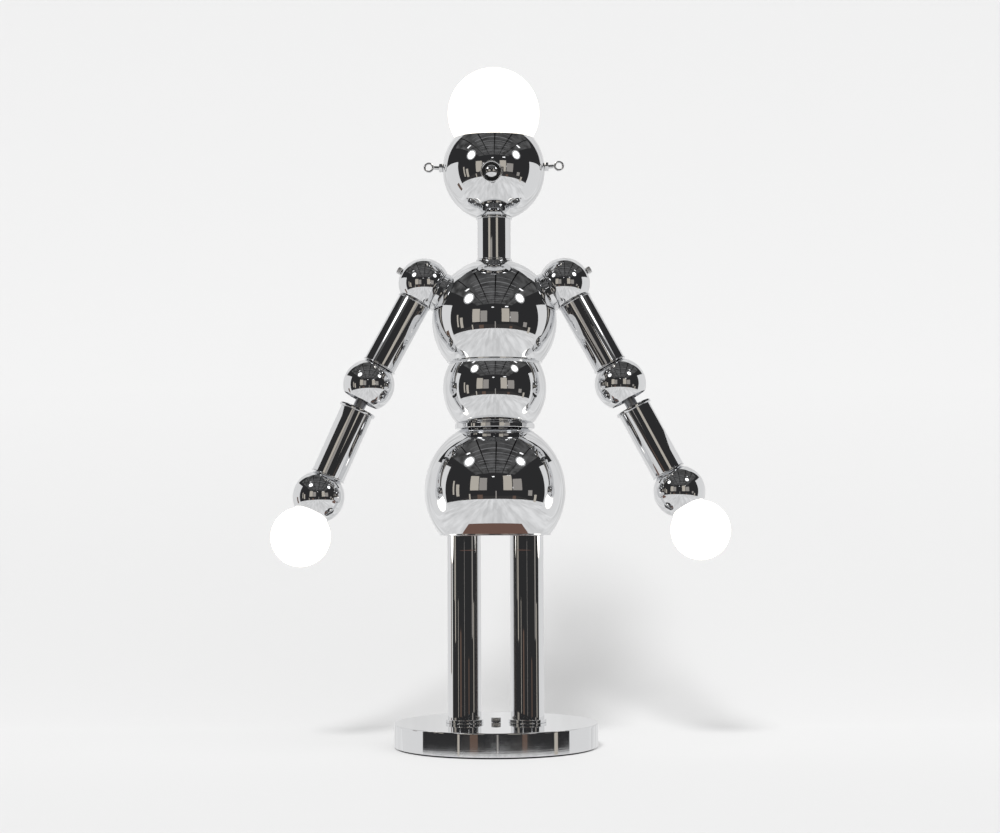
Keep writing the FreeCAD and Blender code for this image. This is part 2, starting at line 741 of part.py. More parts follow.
head_socket = socket("head_socket", "locknut_width / 2", pipe_hole, "socket_floor + fit_gap")
head_socket.setExpression("Placement", formula(
    "placement(vector(0; 0; pipe_top_z - socket_floor); rotation(0; 0; 0))"
))
piece("head_socket", head_socket)
piece("head_bulb", bulb(
    "head_bulb", "head_globe_radius", "head_z + head_globe_rise", "pipe_top_z + socket_floor + fit_gap"
))

# Head: ball, nose switch with its push button, ear nuts and eye screws
head_shell = shell("head", "head_radius", "head_ball_wall", "head_z", high="head_rim_rise")
nose_hole = group("nose_hole_set", cylinder(
    "nose_hole", "nose_recess_radius + nose_barrel_wall + hole_play", "head_radius / 2", "head_radius + 5"
))
nose_hole.setExpression("Placement", "frames.nose")
ear_holes = []
for side in ("left", "right"):
    ear_hole = group("ear_hole_set_" + side, cylinder(
        "ear_hole_" + side, "ear_shaft_radius + running_play", "head_radius / 2", "head_ball_diameter",
        axis="x",
    ))
    ear_hole.setExpression("Placement", "frames.ear_" + side)
    ear_holes.append(ear_hole)
piece("head_ball", cut(
    "head_ball", head_shell,
    cylinder("head_pipe_hole", pipe_hole, "head_z - head_ball_diameter", "head_z"),
    nose_hole,
    *ear_holes,
))

nose_face = "head_radius + nose_bezel_proud"
nose_back = "%s - nose_barrel_length" % nose_face
button_back = "head_radius + nose_button_proud - nose_button_length"
nose_bezel = cut(
    "nose_bezel",
    cylinder("nose_bezel_disc", "nose_bezel_radius", "head_radius / 2", nose_face),
    ball("nose_bezel_seat", "head_radius + seat_gap"),
)
chamber_radius = "nose_button_radius + nose_flange_width"
piece("nose_switch", cut(
    "nose_switch",
    fuse("nose_solid", nose_bezel,
         cylinder("nose_barrel", "nose_recess_radius + nose_barrel_wall", nose_back, nose_face)),
    cylinder("nose_recess", "nose_recess_radius", nose_face + " - nose_recess_depth", "head_radius + 10"),
    cylinder("nose_bore", "nose_button_radius + running_play", button_back, "head_radius + 10"),
    cylinder("nose_chamber", chamber_radius + " + hole_play", button_back + " - nose_travel - hole_play",
             button_back + " + nose_flange_height + hole_play"),
), "nose")
dome_top = "head_radius + nose_button_proud"
button_stem = doc.addObject("Part::Common", "button_stem")
button_stem.Base = cylinder("button_rod", "nose_button_radius", button_back, dome_top + " + 1")
button_stem.Tool = ball("button_dome", "nose_button_dome + nose_button_length",
                        centre="%s - nose_button_dome - nose_button_length" % dome_top)
piece("nose_button", fuse(
    "nose_button_solid", button_stem,
    cylinder("button_flange", chamber_radius, button_back, button_back + " + nose_flange_height"),
), "nose")

ear_nuts = []
for side in ("left", "right"):
    nut = cut(
        "ear_nut_" + side,
        hexagon("ear_nut_blank_" + side, "ear_nut_width", "head_radius + seat_gap",
                "head_radius + ear_nut_height", axis="x"),
        cylinder("ear_nut_bore_" + side, "ear_shaft_radius + running_play", "0", "ear_eye_reach", axis="x"),
    )
    holder = group("ear_nut_set_" + side, nut)
    holder.setExpression("Placement", "frames.ear_" + side)
    ear_nuts.append(holder)
    eye = doc.addObject("Part::Torus", "ear_eye_" + side)
    eye.setExpression("Radius1", formula("(ear_eye_outer - ear_wire) / 2"))
    eye.setExpression("Radius2", formula("ear_wire / 2"))
    place(eye, "0", ("ear_eye_reach", "0"), "y")
    shaft = cylinder("ear_shaft_" + side, "ear_shaft_radius", "head_radius - ear_shaft_inside",
                     "ear_eye_reach - ear_eye_outer / 2 + ear_wire / 2", axis="x")
    piece("ear_screw_" + side, fuse("ear_screw_" + side, eye, shaft), "ear_" + side)
piece("ear_nuts", group("ear_nuts", *ear_nuts))


# Arms
def end_cap(name, seat, lip, overhang, stud_end):
    """A turned tube end on +Z of a ball: lip, plug in the tube, dished seat and hollow stud."""
    blank = turned(name + "_blank", [
        ("0", seat + " - " + lip), ("tube_radius + " + overhang, seat + " - " + lip),
        ("tube_radius + " + overhang, seat), ("tube_inside - hole_play", seat),
        ("tube_inside - hole_play", seat + " + cap_plug"), ("0", seat + " + cap_plug"),
    ])
    dished = cut(name + "_dished", blank, ball(name + "_dish", "joint_radius + seat_gap"))
    stud = cylinder(name + "_stud", "stud_radius", stud_end, seat + " + cap_plug")
    bore = cylinder(name + "_bore", "stud_bore", "0", seat + " + cap_plug + 1")
    return cut(name, fuse(name + "_solid", dished, stud), bore)


def cap_and_nut(name, seat, ball_z, up):
    """An end cap and the locknut that holds it inside its ball, which is at ball_z on the arm."""
    cap = end_cap(name, seat, "cap_lip", "cap_overhang", "stud_end")
    nut = locknut(name + "_nut", "stud_nut_seat - locknut_height", "stud_radius + seat_gap")
    both = group(name + "_set", cap, nut)
    turn = "rotation(0; 0; 0)" if up else "rotation(vector(1; 0; 0); 180)"
    both.setExpression("Placement", formula("placement(vector(0; 0; %s); %s)" % (ball_z, turn)))
    return both


def arm_tube(name, start, end):
    return cut(
        name,
        cylinder(name + "_outer", "tube_radius", end, start),
        cylinder(name + "_inner", "tube_inside", end + " - 1", start + " + 1"),
    )


def lead(name, points, bend):
    """A round lead along straight runs joined by tangent arcs."""
    radius = number("lead_radius")
    edges = []
    here = points[0]
    for last, corner, ahead in zip(points, points[1:], points[2:]):
        back = (last - corner).normalize()
        forth = (ahead - corner).normalize()
        half_turn = (math.pi - back.getAngle(forth)) / 2
        reach = bend * math.tan(half_turn)
        inward = (back + forth).normalize()
        middle = corner + inward * (bend / math.cos(half_turn) - bend)
        start = corner + back * reach
        end = corner + forth * reach
        edges += [Part.LineSegment(here, start).toShape(), Part.Arc(start, middle, end).toShape()]
        here = end
    edges.append(Part.LineSegment(here, points[-1]).toShape())
    path = Part.Wire(edges)
    ring = Part.Wire(Part.Circle(points[0], points[1] - points[0], radius).toShape())
    pipe = path.makePipeShell([ring], True, False)
    share = pipe.Volume / (math.pi * radius ** 2 * path.Length)
    print(name, "volume over section times length: %.4f" % share)
    return pipe


for side in ("left", "right"):
    arm = "arm_" + side
    elbow = "elbow_" + side
    forearm = "forearm_" + side
    # shoulder ball, closed by a flat face that turns on the nipple
    solid_ball = cut(
        "shoulder_shell_" + side,
        ball("shoulder_outer_" + side, "joint_radius", low="-shoulder_cut", axis="x"),
        ball("shoulder_inner_" + side, "joint_inside", low="shoulder_face - shoulder_cut", axis="x"),
    )
    piece("shoulder_ball_" + side, cut(
        "shoulder_ball_" + side, solid_ball,
        cylinder("shoulder_bore_" + side, "pipe_radius + running_play", "-joint_radius", "0", axis="x"),
        cylinder("shoulder_thread_hole_" + side, "arm_thread_radius + hole_play", "0",
                 "joint_ball_diameter", axis="x"),
        cylinder("shoulder_stud_hole_" + side, "stud_radius + hole_play", "-joint_ball_diameter", "0"),
    ), arm)
    switch_end = "joint_inside - arm_switch_standoff"
    piece("shoulder_switch_" + side, cut(
        "shoulder_switch_" + side,
        fuse("arm_switch_solid_" + side,
             cylinder("arm_switch_body_" + side, "arm_switch_radius", switch_end + " - arm_switch_depth",
                      switch_end, axis="x"),
             cylinder("arm_switch_thread_" + side, "arm_thread_radius", switch_end + " - 1",
                      "joint_radius + 0.1", axis="x")),
        cylinder("arm_switch_bore_" + side, shaft_hole, "joint_radius - switch_shaft_depth - 1",
                 "joint_radius + 1", axis="x"),
    ), arm)
    knob = switch_knob("arm_knob_" + side, "arm_knob_radius", "arm_knob_height", 18)
    knob.setExpression("Placement", formula(
        "placement(vector(joint_radius; 0; 0); rotation(vector(0; 1; 0); 90))"
    ))
    piece("shoulder_knob_" + side, group("arm_knob_set_" + side, knob), arm)

    # upper arm
    top = "-shoulder_seat"
    bottom = "-shoulder_seat - upper_tube_length"
    piece("upper_arm_tube_" + side, arm_tube("upper_tube_" + side, top, bottom), arm)
    piece("upper_arm_caps_" + side, group(
        "upper_caps_" + side,
        cap_and_nut("shoulder_cap_" + side, "shoulder_seat", "0", up=False),
        cap_and_nut("elbow_cap_" + side, "elbow_seat", "-elbow_drop", up=True),
    ), arm)

    # elbow ball with its open mouth, and the fork and pin inside it
    elbow_shell = shell("elbow_" + side, "joint_radius", "joint_ball_wall", "0", low="-elbow_mouth")
    piece("elbow_ball_" + side, cut(
        "elbow_ball_" + side, elbow_shell,
        cylinder("elbow_stud_hole_" + side, "stud_radius + hole_play", "0", "joint_ball_diameter"),
    ), elbow)
    half_slot = "tongue_thickness / 2 + hole_play"
    fork = cut(
        "fork_" + side,
        cylinder("fork_bar_" + side, "fork_radius", "-fork_reach", "fork_top"),
        block("fork_slot_" + side,
              ("4 * fork_radius", "2 * (%s)" % half_slot, "fork_reach + fork_slot_depth + 1"),
              ("-2 * fork_radius", "-(%s)" % half_slot, "-fork_reach - 1")),
        cylinder("fork_pin_hole_" + side, "pin_radius + running_play", "-2 * fork_radius",
                 "2 * fork_radius", axis="y"),
        cylinder("fork_stud_hole_" + side, "stud_radius + hole_play", "stud_end", "joint_radius"),
        cylinder("fork_lead_hole_" + side, "stud_bore", "0", "joint_radius"),
    )
    pin = fuse(
        "elbow_pin_" + side,
        cylinder("pin_rod_" + side, "pin_radius", "-pin_length / 2", "pin_length / 2", axis="y"),
        cylinder("pin_head_" + side, "pin_head_radius", "-pin_length / 2 - pin_head_height",
                 "-pin_length / 2", axis="y"),
        hexagon("pin_nut_" + side, "2 * pin_head_radius", "pin_length / 2",
                "pin_length / 2 + pin_head_height", axis="y"),
    )
    piece("elbow_fork_" + side, group("elbow_fork_" + side, fork, pin), elbow)

    # tongue and hollow neck that the forearm hangs on
    neck_end = "-forearm_tube_start - cap_plug / 2"
    tongue = fuse(
        "tongue_solid_" + side,
        cylinder("tongue_eye_" + side, "tongue_radius", "-tongue_thickness / 2", "tongue_thickness / 2",
                 axis="y"),
        block("tongue_web_" + side, ("2 * tongue_radius", "tongue_thickness", "elbow_neck_start + 1"),
              ("-tongue_radius", "-tongue_thickness / 2", "-elbow_neck_start - 1")),
        cylinder("elbow_neck_" + side, "elbow_neck_radius", neck_end, "-elbow_neck_start"),
    )
    piece("elbow_tongue_" + side, cut(
        "elbow_tongue_" + side, tongue,
        cylinder("tongue_pin_hole_" + side, "pin_radius + running_play", "-tongue_thickness",
                 "tongue_thickness", axis="y"),
        cylinder("neck_bore_" + side, "lead_radius + fit_gap", neck_end + " - 1", "-elbow_neck_start - 3"),
    ), forearm)

    # forearm
    start = "-forearm_tube_start"
    end = "-forearm_tube_end"
    piece("forearm_tube_" + side, arm_tube("lower_tube_" + side, start, end), forearm)
    flange = turned("forearm_flange_" + side, [
        ("elbow_neck_radius + seat_gap", "-forearm_start"),
        ("forearm_flange_diameter / 2", "-forearm_start"),
        ("forearm_flange_diameter / 2", start),
        ("tube_inside - hole_play", start),
        ("tube_inside - hole_play", start + " - cap_plug"),
        ("lead_radius + fit_gap", start + " - cap_plug"),
        ("lead_radius + fit_gap", neck_end),
        ("elbow_neck_radius + seat_gap", neck_end),
    ])
    piece("forearm_caps_" + side, group(
        "lower_caps_" + side, flange, cap_and_nut("hand_cap_" + side, "hand_seat", "-hand_drop", up=True)
    ), forearm)
    forearm_wire = cylinder("forearm_wire_" + side, "lead_radius", "-hand_drop + stud_end",
                            "-elbow_neck_start - 3")
    piece("forearm_lead_" + side, forearm_wire, forearm)

    # hand: ball with its open mouth, socket and lit globe
    hand_shell = shell("hand_" + side, "joint_radius", "joint_ball_wall", "-hand_drop", low="-hand_mouth")
    piece("hand_ball_" + side, cut(
        "hand_ball_" + side, hand_shell,
        cylinder("hand_stud_hole_" + side, "stud_radius + hole_play", "-hand_drop",
                 "-hand_drop + joint_radius"),
    ), forearm)
    hand_socket = socket("hand_socket_body_" + side, "hand_socket_boss_radius", "stud_radius + hole_play",
                         "fork_top - hand_socket_top")
    hand_socket.setExpression("Placement", formula(
        "placement(vector(0; 0; fork_top - hand_drop); rotation(vector(1; 0; 0); 180))"
    ))
    piece("hand_socket_" + side, group("hand_socket_set_" + side, hand_socket), forearm)
    hand_bulb = bulb("hand_bulb_body_" + side, "hand_globe_radius", "hand_globe_reach + hand_drop",
                     "hand_drop - hand_socket_top + socket_floor + fit_gap")
    hand_bulb.setExpression("Placement", "placement(vector(0; 0; 0); rotation(vector(1; 0; 0); 180))")
    piece("hand_bulb_" + side, group("hand_bulb_set_" + side, hand_bulb), forearm)
doc.recompute()


# Wiring, made as plain shapes because each is one tube along a route
def vector(x, y, z):
    return FreeCAD.Vector(number(x), number(y), number(z))


def lead_feature(label, shape, placement=None):
    obj = doc.addObject("Part::Feature", label)
    obj.Shape = shape
    if placement is not None:
        obj.Placement = placement
    obj.Label = label
    PIECES.append(obj)


switch_side = "base_switch_radius + split_gap"
main_lead = lead("main lead", [
    vector("-(%s)" % switch_side, "0", "wire_height"),
    vector("-lead_x", "0", "wire_height"),
    vector("-lead_x", "0", "lead_entry_low"),
    vector("0", "0", "lead_entry_high"),
    vector("0", "0", "pipe_top_z"),
], number("lead_turn"))
mains_lead = lead("mains lead", [
    vector("0", base_radius + " - bushing_length", "wire_height"),
    vector("0", switch_side, "wire_height"),
], number("lead_bend"))
for side in ("left", "right"):
    frame = getattr(frames, "pivot_" + side)
    ends = [frame.multVec(vector(x, "0", "0")) for x in ("0", "split_x")]
    main_lead = main_lead.fuse(lead(side + " arm branch", ends, number("lead_bend")))
lead_feature("lamp_leads", Part.makeCompound([main_lead.removeSplitter(), mains_lead]))

arm_route = [
    vector("split_x - shoulder_reach + split_gap", "0", "0"),
    vector("0", "0", "0"),
    vector("0", "0", "-elbow_drop + stud_end"),
]
for side in ("left", "right"):
    lead_feature("arm_lead_" + side, lead("arm lead", arm_route, number("lead_turn")),
                 getattr(frames, "arm_" + side))
nose_wire = [
    vector("0", "0", nose_back),
    vector("0", "0", nose_back + " - nose_lead_bend_at"),
    vector("0", "-nose_lead_side", nose_back + " - nose_lead_reach"),
]
lead_feature("head_lead", lead("head lead", nose_wire, number("lead_turn")), frames.nose)
doc.recompute()

# Every object has to be sound before anything is written
for obj in doc.Objects:
    bad = [state for state in obj.State if state in ("Invalid", "Error")]
    if bad:
        raise RuntimeError("%s is %s" % (obj.Name, bad))
for obj in PIECES:
    if obj.Shape.isNull() or not obj.Shape.isValid() or not obj.Shape.Solids:
        raise RuntimeError("%s has no sound shape" % obj.Label)
os.makedirs("parts", exist_ok=True)
for obj in PIECES:
    obj.Shape.exportStep(os.path.join("parts", obj.Label + ".step"))
print(len(PIECES), "pieces,", sum(len(obj.Shape.Solids) for obj in PIECES), "solids")
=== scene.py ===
import json
import math

import bmesh
import bpy
from mathutils import Matrix, Vector


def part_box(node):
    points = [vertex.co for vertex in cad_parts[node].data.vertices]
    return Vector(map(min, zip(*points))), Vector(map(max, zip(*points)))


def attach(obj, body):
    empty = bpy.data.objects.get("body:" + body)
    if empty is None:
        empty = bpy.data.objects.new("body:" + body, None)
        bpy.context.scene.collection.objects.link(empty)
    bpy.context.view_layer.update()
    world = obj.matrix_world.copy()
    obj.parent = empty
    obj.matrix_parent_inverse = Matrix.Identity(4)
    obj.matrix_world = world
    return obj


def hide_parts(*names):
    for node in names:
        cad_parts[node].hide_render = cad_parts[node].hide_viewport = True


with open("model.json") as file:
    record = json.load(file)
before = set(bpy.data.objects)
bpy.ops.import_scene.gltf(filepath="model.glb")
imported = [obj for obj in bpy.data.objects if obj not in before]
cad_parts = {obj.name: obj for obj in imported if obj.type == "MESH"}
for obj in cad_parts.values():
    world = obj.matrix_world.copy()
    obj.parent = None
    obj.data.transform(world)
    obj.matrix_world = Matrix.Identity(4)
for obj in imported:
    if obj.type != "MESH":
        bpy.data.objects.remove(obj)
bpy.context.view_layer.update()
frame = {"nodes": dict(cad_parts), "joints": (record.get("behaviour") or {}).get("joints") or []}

joints = {joint["name"]: joint for joint in frame["joints"]}
scene = bpy.context.scene

# Camera. It stands in front of the lamp at hip height, a little over two metres away, and looks slightly up.
camera_distance = 2.227
camera_height = 0.2616
camera_pitch = math.radians(3.7)
camera_yaw = math.radians(0.15)
camera_roll = math.radians(0.25)
lens_millimetres = 64.8
camera_data = bpy.data.cameras.new("camera")
camera_data.sensor_width = 36.0
camera_data.lens = lens_millimetres
camera = bpy.data.objects.new("camera", camera_data)
camera.location = (0.0, -camera_distance, camera_height)
camera.rotation_euler = (math.pi / 2 + camera_pitch, camera_roll, -camera_yaw)
scene.collection.objects.link(camera)
scene.camera = camera
scene.view_settings.view_transform = "Standard"
scene.view_settings.look = "None"


# Studio. White seamless paper runs from in front of the lamp to behind it and curves up into a wall. White
# boards stand at its sides. Polished chrome shows all of this, and a dark room beyond it.
sun_key = (Vector((-0.162, -0.649, 0.743)).normalized(), 3.9, 13.0)
sun_fill = (Vector((0.30, -0.52, 0.80)).normalized(), 3.0, 80.0)
paper_albedo = 0.25
paper_level = 0.815


def staged(name, bm, material):
    """A thing of the studio. Only the chrome sees it, and it throws no light or shadow of its own."""
    mesh = bpy.data.meshes.new(name)
    bm.to_mesh(mesh)
    bm.free()
    thing = bpy.data.objects.new(name, mesh)
    thing.data.materials.append(material)
    scene.collection.objects.link(thing)
    thing.visible_camera = False
    thing.visible_shadow = False
    thing.visible_diffuse = False
    return thing


def glowing(name, colour):
    """A plain surface that looks the same however it is lit."""
    material = bpy.data.materials.new(name)
    material.use_nodes = True
    shader = material.node_tree.nodes["Principled BSDF"]
    shader.inputs["Base Color"].default_value = (0.0, 0.0, 0.0, 1.0)
    shader.inputs["Roughness"].default_value = 1.0
    shader.inputs["Specular IOR Level"].default_value = 0.0
    shader.inputs["Emission Color"].default_value = (*colour, 1.0)
    shader.inputs["Emission Strength"].default_value = 1.0
    return material


def paper_material():
    """White paper that is as bright on its floor, its curve and its wall, and clear when seen from behind."""
    material = bpy.data.materials.new("studio_paper")
    material.use_nodes = True
    nodes, links = material.node_tree.nodes, material.node_tree.links
    shader = nodes["Principled BSDF"]
    shader.inputs["Base Color"].default_value = (paper_albedo, paper_albedo, paper_albedo, 1.0)
    shader.inputs["Roughness"].default_value = 1.0
    shader.inputs["Specular IOR Level"].default_value = 0.0
    shader.inputs["Emission Strength"].default_value = 1.0
    suns = sum((way * power for way, power, size in (sun_key, sun_fill)), Vector())
    geometry = nodes.new("ShaderNodeNewGeometry")
    lit = nodes.new("ShaderNodeVectorMath")
    lit.operation = "DOT_PRODUCT"
    lit.inputs[1].default_value = suns * paper_albedo / math.pi
    rest = nodes.new("ShaderNodeMath")
    rest.operation = "SUBTRACT"
    rest.inputs[0].default_value = paper_level
    links.new(geometry.outputs["Normal"], lit.inputs[0])
    links.new(lit.outputs["Value"], rest.inputs[1])
    links.new(rest.outputs[0], shader.inputs["Emission Color"])
    seen_from_front = nodes.new("ShaderNodeMath")
    seen_from_front.operation = "SUBTRACT"
    seen_from_front.inputs[0].default_value = 1.0
    links.new(geometry.outputs["Backfacing"], seen_from_front.inputs[1])
    links.new(seen_from_front.outputs[0], shader.inputs["Alpha"])
    return material


def sheet_of(corners):
    bm = bmesh.new()
    bm.faces.new([bm.verts.new(corner) for corner in corners])
    return bm


def oblong(low, high):
    """A level or upright oblong between two opposite corners."""
    return sheet_of([low, (high[0], low[1] if low[2] == high[2] else high[1], low[2]), high,
                     (low[0], high[1] if low[2] == high[2] else low[1], high[2])])


def sweep_of_paper(width, front, back, height, bend):
    """Seamless studio paper: a floor that curves up into a wall."""
    bm = bmesh.new()
    edge = [bm.verts.new((-width, front, 0)), bm.verts.new((-width, back - bend, 0))]
    bm.edges.new(edge)
    curve = bmesh.ops.spin(
        bm, geom=[edge[1]], cent=(-width, back - bend, bend), axis=(1, 0, 0), angle=math.pi / 2, steps=24
    )
    tip = [v for v in curve["geom_last"] if isinstance(v, bmesh.types.BMVert)][0]
    bm.edges.new((tip, bm.verts.new((-width, back, height))))
    wide = bmesh.ops.extrude_edge_only(bm, edges=list(bm.edges))
    moved = [v for v in wide["geom"] if isinstance(v, bmesh.types.BMVert)]
    bmesh.ops.translate(bm, verts=moved, vec=(2 * width, 0, 0))
    bmesh.ops.recalc_face_normals(bm, faces=bm.faces)
    if sum(face.normal.z for face in bm.faces) < 0:
        bmesh.ops.reverse_faces(bm, faces=bm.faces)
    for face in bm.faces:
        face.smooth = True
    return bm


def mottled(material, scale, stretch, darkest, lightest):
    """Uneven brightness for a glowing surface."""
    nodes, links = material.node_tree.nodes, material.node_tree.links
    where = nodes.new("ShaderNodeTexCoord")
    spread = nodes.new("ShaderNodeVectorMath")
    spread.operation = "MULTIPLY"
    spread.inputs[1].default_value = stretch
    noise = nodes.new("ShaderNodeTexNoise")
    noise.inputs["Scale"].default_value = scale
    noise.inputs["Detail"].default_value = 5.0
    level = nodes.new("ShaderNodeMapRange")
    level.inputs["From Min"].default_value = 0.35
    level.inputs["From Max"].default_value = 0.68
    level.inputs["To Min"].default_value = darkest
    level.inputs["To Max"].default_value = lightest
    links.new(where.outputs["Object"], spread.inputs[0])
    links.new(spread.outputs[0], noise.inputs["Vector"])
    links.new(noise.outputs["Fac"], level.inputs["Value"])
    links.new(level.outputs["Result"], nodes["Principled BSDF"].inputs["Emission Color"])
    return material


# Backdrop. The camera sees the paper, and a pale surround past its edges. In their place the chrome sees a
# second, lower sheet, white boards at the sides, and a brown card just under the hips.
paper = staged("studio_paper", sweep_of_paper(2.6, -2.1, 0.72, 2.6, 0.5), paper_material())
paper.visible_camera = True
paper.visible_shadow = True
paper.visible_diffuse = True
paper.visible_glossy = False
surround = bmesh.new()
bmesh.ops.create_icosphere(surround, subdivisions=3, radius=9.0)
around_all = staged("studio_surround", surround, glowing("surround_white", (0.885, 0.885, 0.885)))
around_all.visible_camera = True
around_all.visible_glossy = False
stage_drop = 0.25
stage_half = 1.28
stage_front_reach = 2.25
board_front = -0.10
board_back = 1.05
board_height = 1.0
cove = sweep_of_paper(stage_half, board_front, board_back, 2.6, 0.45)
bmesh.ops.translate(cove, verts=cove.verts, vec=(0, 0, -stage_drop))
stage_front = bmesh.ops.create_circle(cove, cap_ends=True, segments=96, radius=stage_front_reach)["verts"]
bmesh.ops.translate(cove, verts=stage_front, vec=(0, 0, -stage_drop - 0.002))
cove_white = mottled(glowing("cove_white", (0.8, 0.8, 0.8)), 2.2, (3.2, 0.7, 1.0), 0.66, 0.90)
staged("studio_cove", cove, cove_white)
card_low = 0.24
card_reach = 0.1
card = sheet_of([(0.055, -0.03, card_low), (-0.055, -0.03, card_low), *[
    (card_reach * math.sin(math.radians(angle)), -card_reach * math.cos(math.radians(angle)), card_low)
    for angle in range(-35, 36, 7)
]])
staged("brown_card", card, glowing("card_brown", (0.17, 0.10, 0.08)))
board_white = glowing("studio_board", (0.80, 0.80, 0.80))
for side, name in ((-1, "left"), (1, "right")):
    low = (side * stage_half, board_front, -stage_drop)
    high = (side * stage_half, board_back, board_height)
    staged("side_board_" + name, oblong(low, high), board_white)

# Room. It has dark walls, a dark panelled ceiling with lighter streaks, and cartons, crates and posts in it.
# Two round flash heads hang in front, left and right, and a few small windows are far away.
room_dark = glowing("room_dark", (0.030, 0.030, 0.031))
room_ground = glowing("room_ground", (0.045, 0.043, 0.042))
ceiling_grey = glowing("room_ceiling", (0.10, 0.10, 0.102))
mottled(ceiling_grey, 1.3, (1.0, 1.0, 1.0), 0.045, 0.125)
seam_dark = glowing("ceiling_seam", (0.006, 0.006, 0.006))
streak_grey = glowing("ceiling_streak", (0.22, 0.22, 0.225))
carton_beige = glowing("carton_beige", (0.52, 0.48, 0.42))
carton_grey = glowing("carton_grey", (0.34, 0.32, 0.30))
carton_brown = glowing("carton_brown", (0.14, 0.095, 0.075))
window_white = glowing("window_white", (1.6, 1.6, 1.6))
flash_white = glowing("flash_white", (3.0, 3.0, 3.0))
flash_rim = glowing("flash_rim", (0.55, 0.55, 0.55))
room_width = 3.4
room_front = -5.2
room_back = 1.4
room_low = -0.6
room_height = 3.0
seam_drop = 0.03
streak_drop = 0.02
front_left = (-room_width, room_front, room_low)
front_right = (room_width, room_front, room_low)
back_right_top = (room_width, room_back, room_height)
for name, low, high, material in (
    ("room_ceiling", (-room_width, room_front, room_height), back_right_top, ceiling_grey),
    ("room_ground", front_left, (room_width, room_back, room_low), room_ground),
    ("room_front", front_left, (room_width, room_front, room_height), room_dark),
    ("room_side_left", front_left, (-room_width, room_back, room_height), room_dark),
    ("room_side_right", front_right, back_right_top, room_dark),
):
    staged(name, oblong(low, high), material)
for number in range(5):
    x = (number - 2) * 1.05 + 0.08
    z = room_height - seam_drop
    staged("ceiling_seam_%d" % number, oblong((x - 0.04, room_front, z), (x + 0.04, room_back, z)), seam_dark)
for number, y in enumerate((-4.6, -4.1, -3.5, -3.1, -2.6, -2.2, -1.7, -1.4, -0.9, -0.4)):
    half = 0.015 + 0.015 * (number % 3)
    z = room_height - streak_drop
    staged("ceiling_streak_%d" % number, oblong((-1.6, y - half, z), (1.6, y + half, z)), streak_grey)


def stood(name, azimuth, distance, wide, low, high, material, lean=0.0):
    """An upright rectangle that faces the lamp, at an azimuth in degrees from straight in front."""
    half = wide / 2
    bm = sheet_of([(-half, 0, low), (half, 0, low), (half + lean, 0, high), (-half + lean, 0, high)])
    turn = Matrix.Rotation(math.radians(azimuth), 4, "Z")
    bmesh.ops.transform(bm, matrix=turn @ Matrix.Translation((0, -distance, 0)), verts=bm.verts)
    return staged(name, bm, material)


for name, azimuth, distance, wide, low, high, material in (
    ("carton_left_far", -33.0, 1.9, 0.46, 0.30, 1.05, carton_beige),
    ("carton_left", -19.0, 1.8, 0.38, 0.30, 0.92, carton_grey),
    ("carton_right", 20.0, 1.8, 0.44, 0.30, 1.05, carton_beige),
    ("carton_right_far", 36.0, 1.9, 0.50, 0.30, 0.88, carton_grey),
    ("crate_left", -24.0, 2.3, 0.34, -0.58, 0.02, carton_brown),
    ("crate_right", 31.0, 2.3, 0.22, -0.58, -0.05, carton_brown),
    ("post_middle", 1.5, 2.4, 0.07, -0.58, 0.24, carton_grey),
    ("post_left", -41.0, 2.2, 0.09, -0.58, 0.10, carton_beige),
    ("post_right", 68.0, 2.0, 0.16, -0.58, 0.10, carton_beige),
    ("carton_side_left", -62.0, 2.2, 0.22, 0.0, 0.62, carton_beige),
    ("carton_side_strip", -70.0, 2.2, 0.12, 0.1, 0.8, carton_beige),
    ("carton_side_right", 58.0, 2.3, 0.30, 0.0, 0.30, carton_grey),
    ("box_brown_left", -98.0, 1.22, 0.16, 0.0, 0.30, carton_brown),
    ("window_middle", -3.0, 4.6, 0.34, 2.02, 2.16, window_white),
    ("window_right", 23.0, 4.6, 0.50, 2.10, 2.26, window_white),
    ("window_low_left", -30.0, 4.2, 0.26, 0.50, 0.66, window_white),
    ("window_low_right", 30.0, 4.2, 0.26, 0.50, 0.66, window_white),
):
    stood(name, azimuth, distance, wide, low, high, material)
for name, side, size in (("flash_left", -1, 0.12), ("flash_right", 1, 0.11)):
    place = Vector((side * 0.67, -0.52, 1.07))
    facing = (Vector((0, 0, 0.5)) - place).to_track_quat("Z", "Y").to_matrix().to_4x4()
    for part, radius, back, white in (("lamp", size, 0.0, flash_white), ("rim", size * 1.4, 0.02, flash_rim)):
        bm = bmesh.new()
        bmesh.ops.create_circle(bm, cap_ends=True, segments=48, radius=radius)
        bmesh.ops.transform(
            bm, matrix=Matrix.Translation(place) @ facing @ Matrix.Translation((0, 0, -back)), verts=bm.verts
        )
        staged(name + "_" + part, bm, white)
for side, name in ((-1, "softbox_left"), (1, "softbox_right")):
    stood(name, side * 69.0, 0.86, 0.07, 1.34, 1.50, window_white, lean=side * -0.06)

# Soft light on the paper. One lamp throws the figure's shadow back to the right, and a broad one fills it.
for name, (way, power, size) in (("sun_key", sun_key), ("sun_fill", sun_fill)):
    data = bpy.data.lights.new(name, "SUN")
    data.energy = power
    data.angle = math.radians(size)
    light = bpy.data.objects.new(name, data)
    light.rotation_euler = way.to_track_quat("Z", "Y").to_euler()
    light.visible_glossy = False
    scene.collection.objects.link(light)

world = bpy.data.worlds.new("studio")
scene.world = world
world.use_nodes = True
backdrop = world.node_tree.nodes["Background"]
backdrop.inputs["Color"].default_value = (0.03, 0.03, 0.031, 1.0)
backdrop.inputs["Strength"].default_value = 1.0


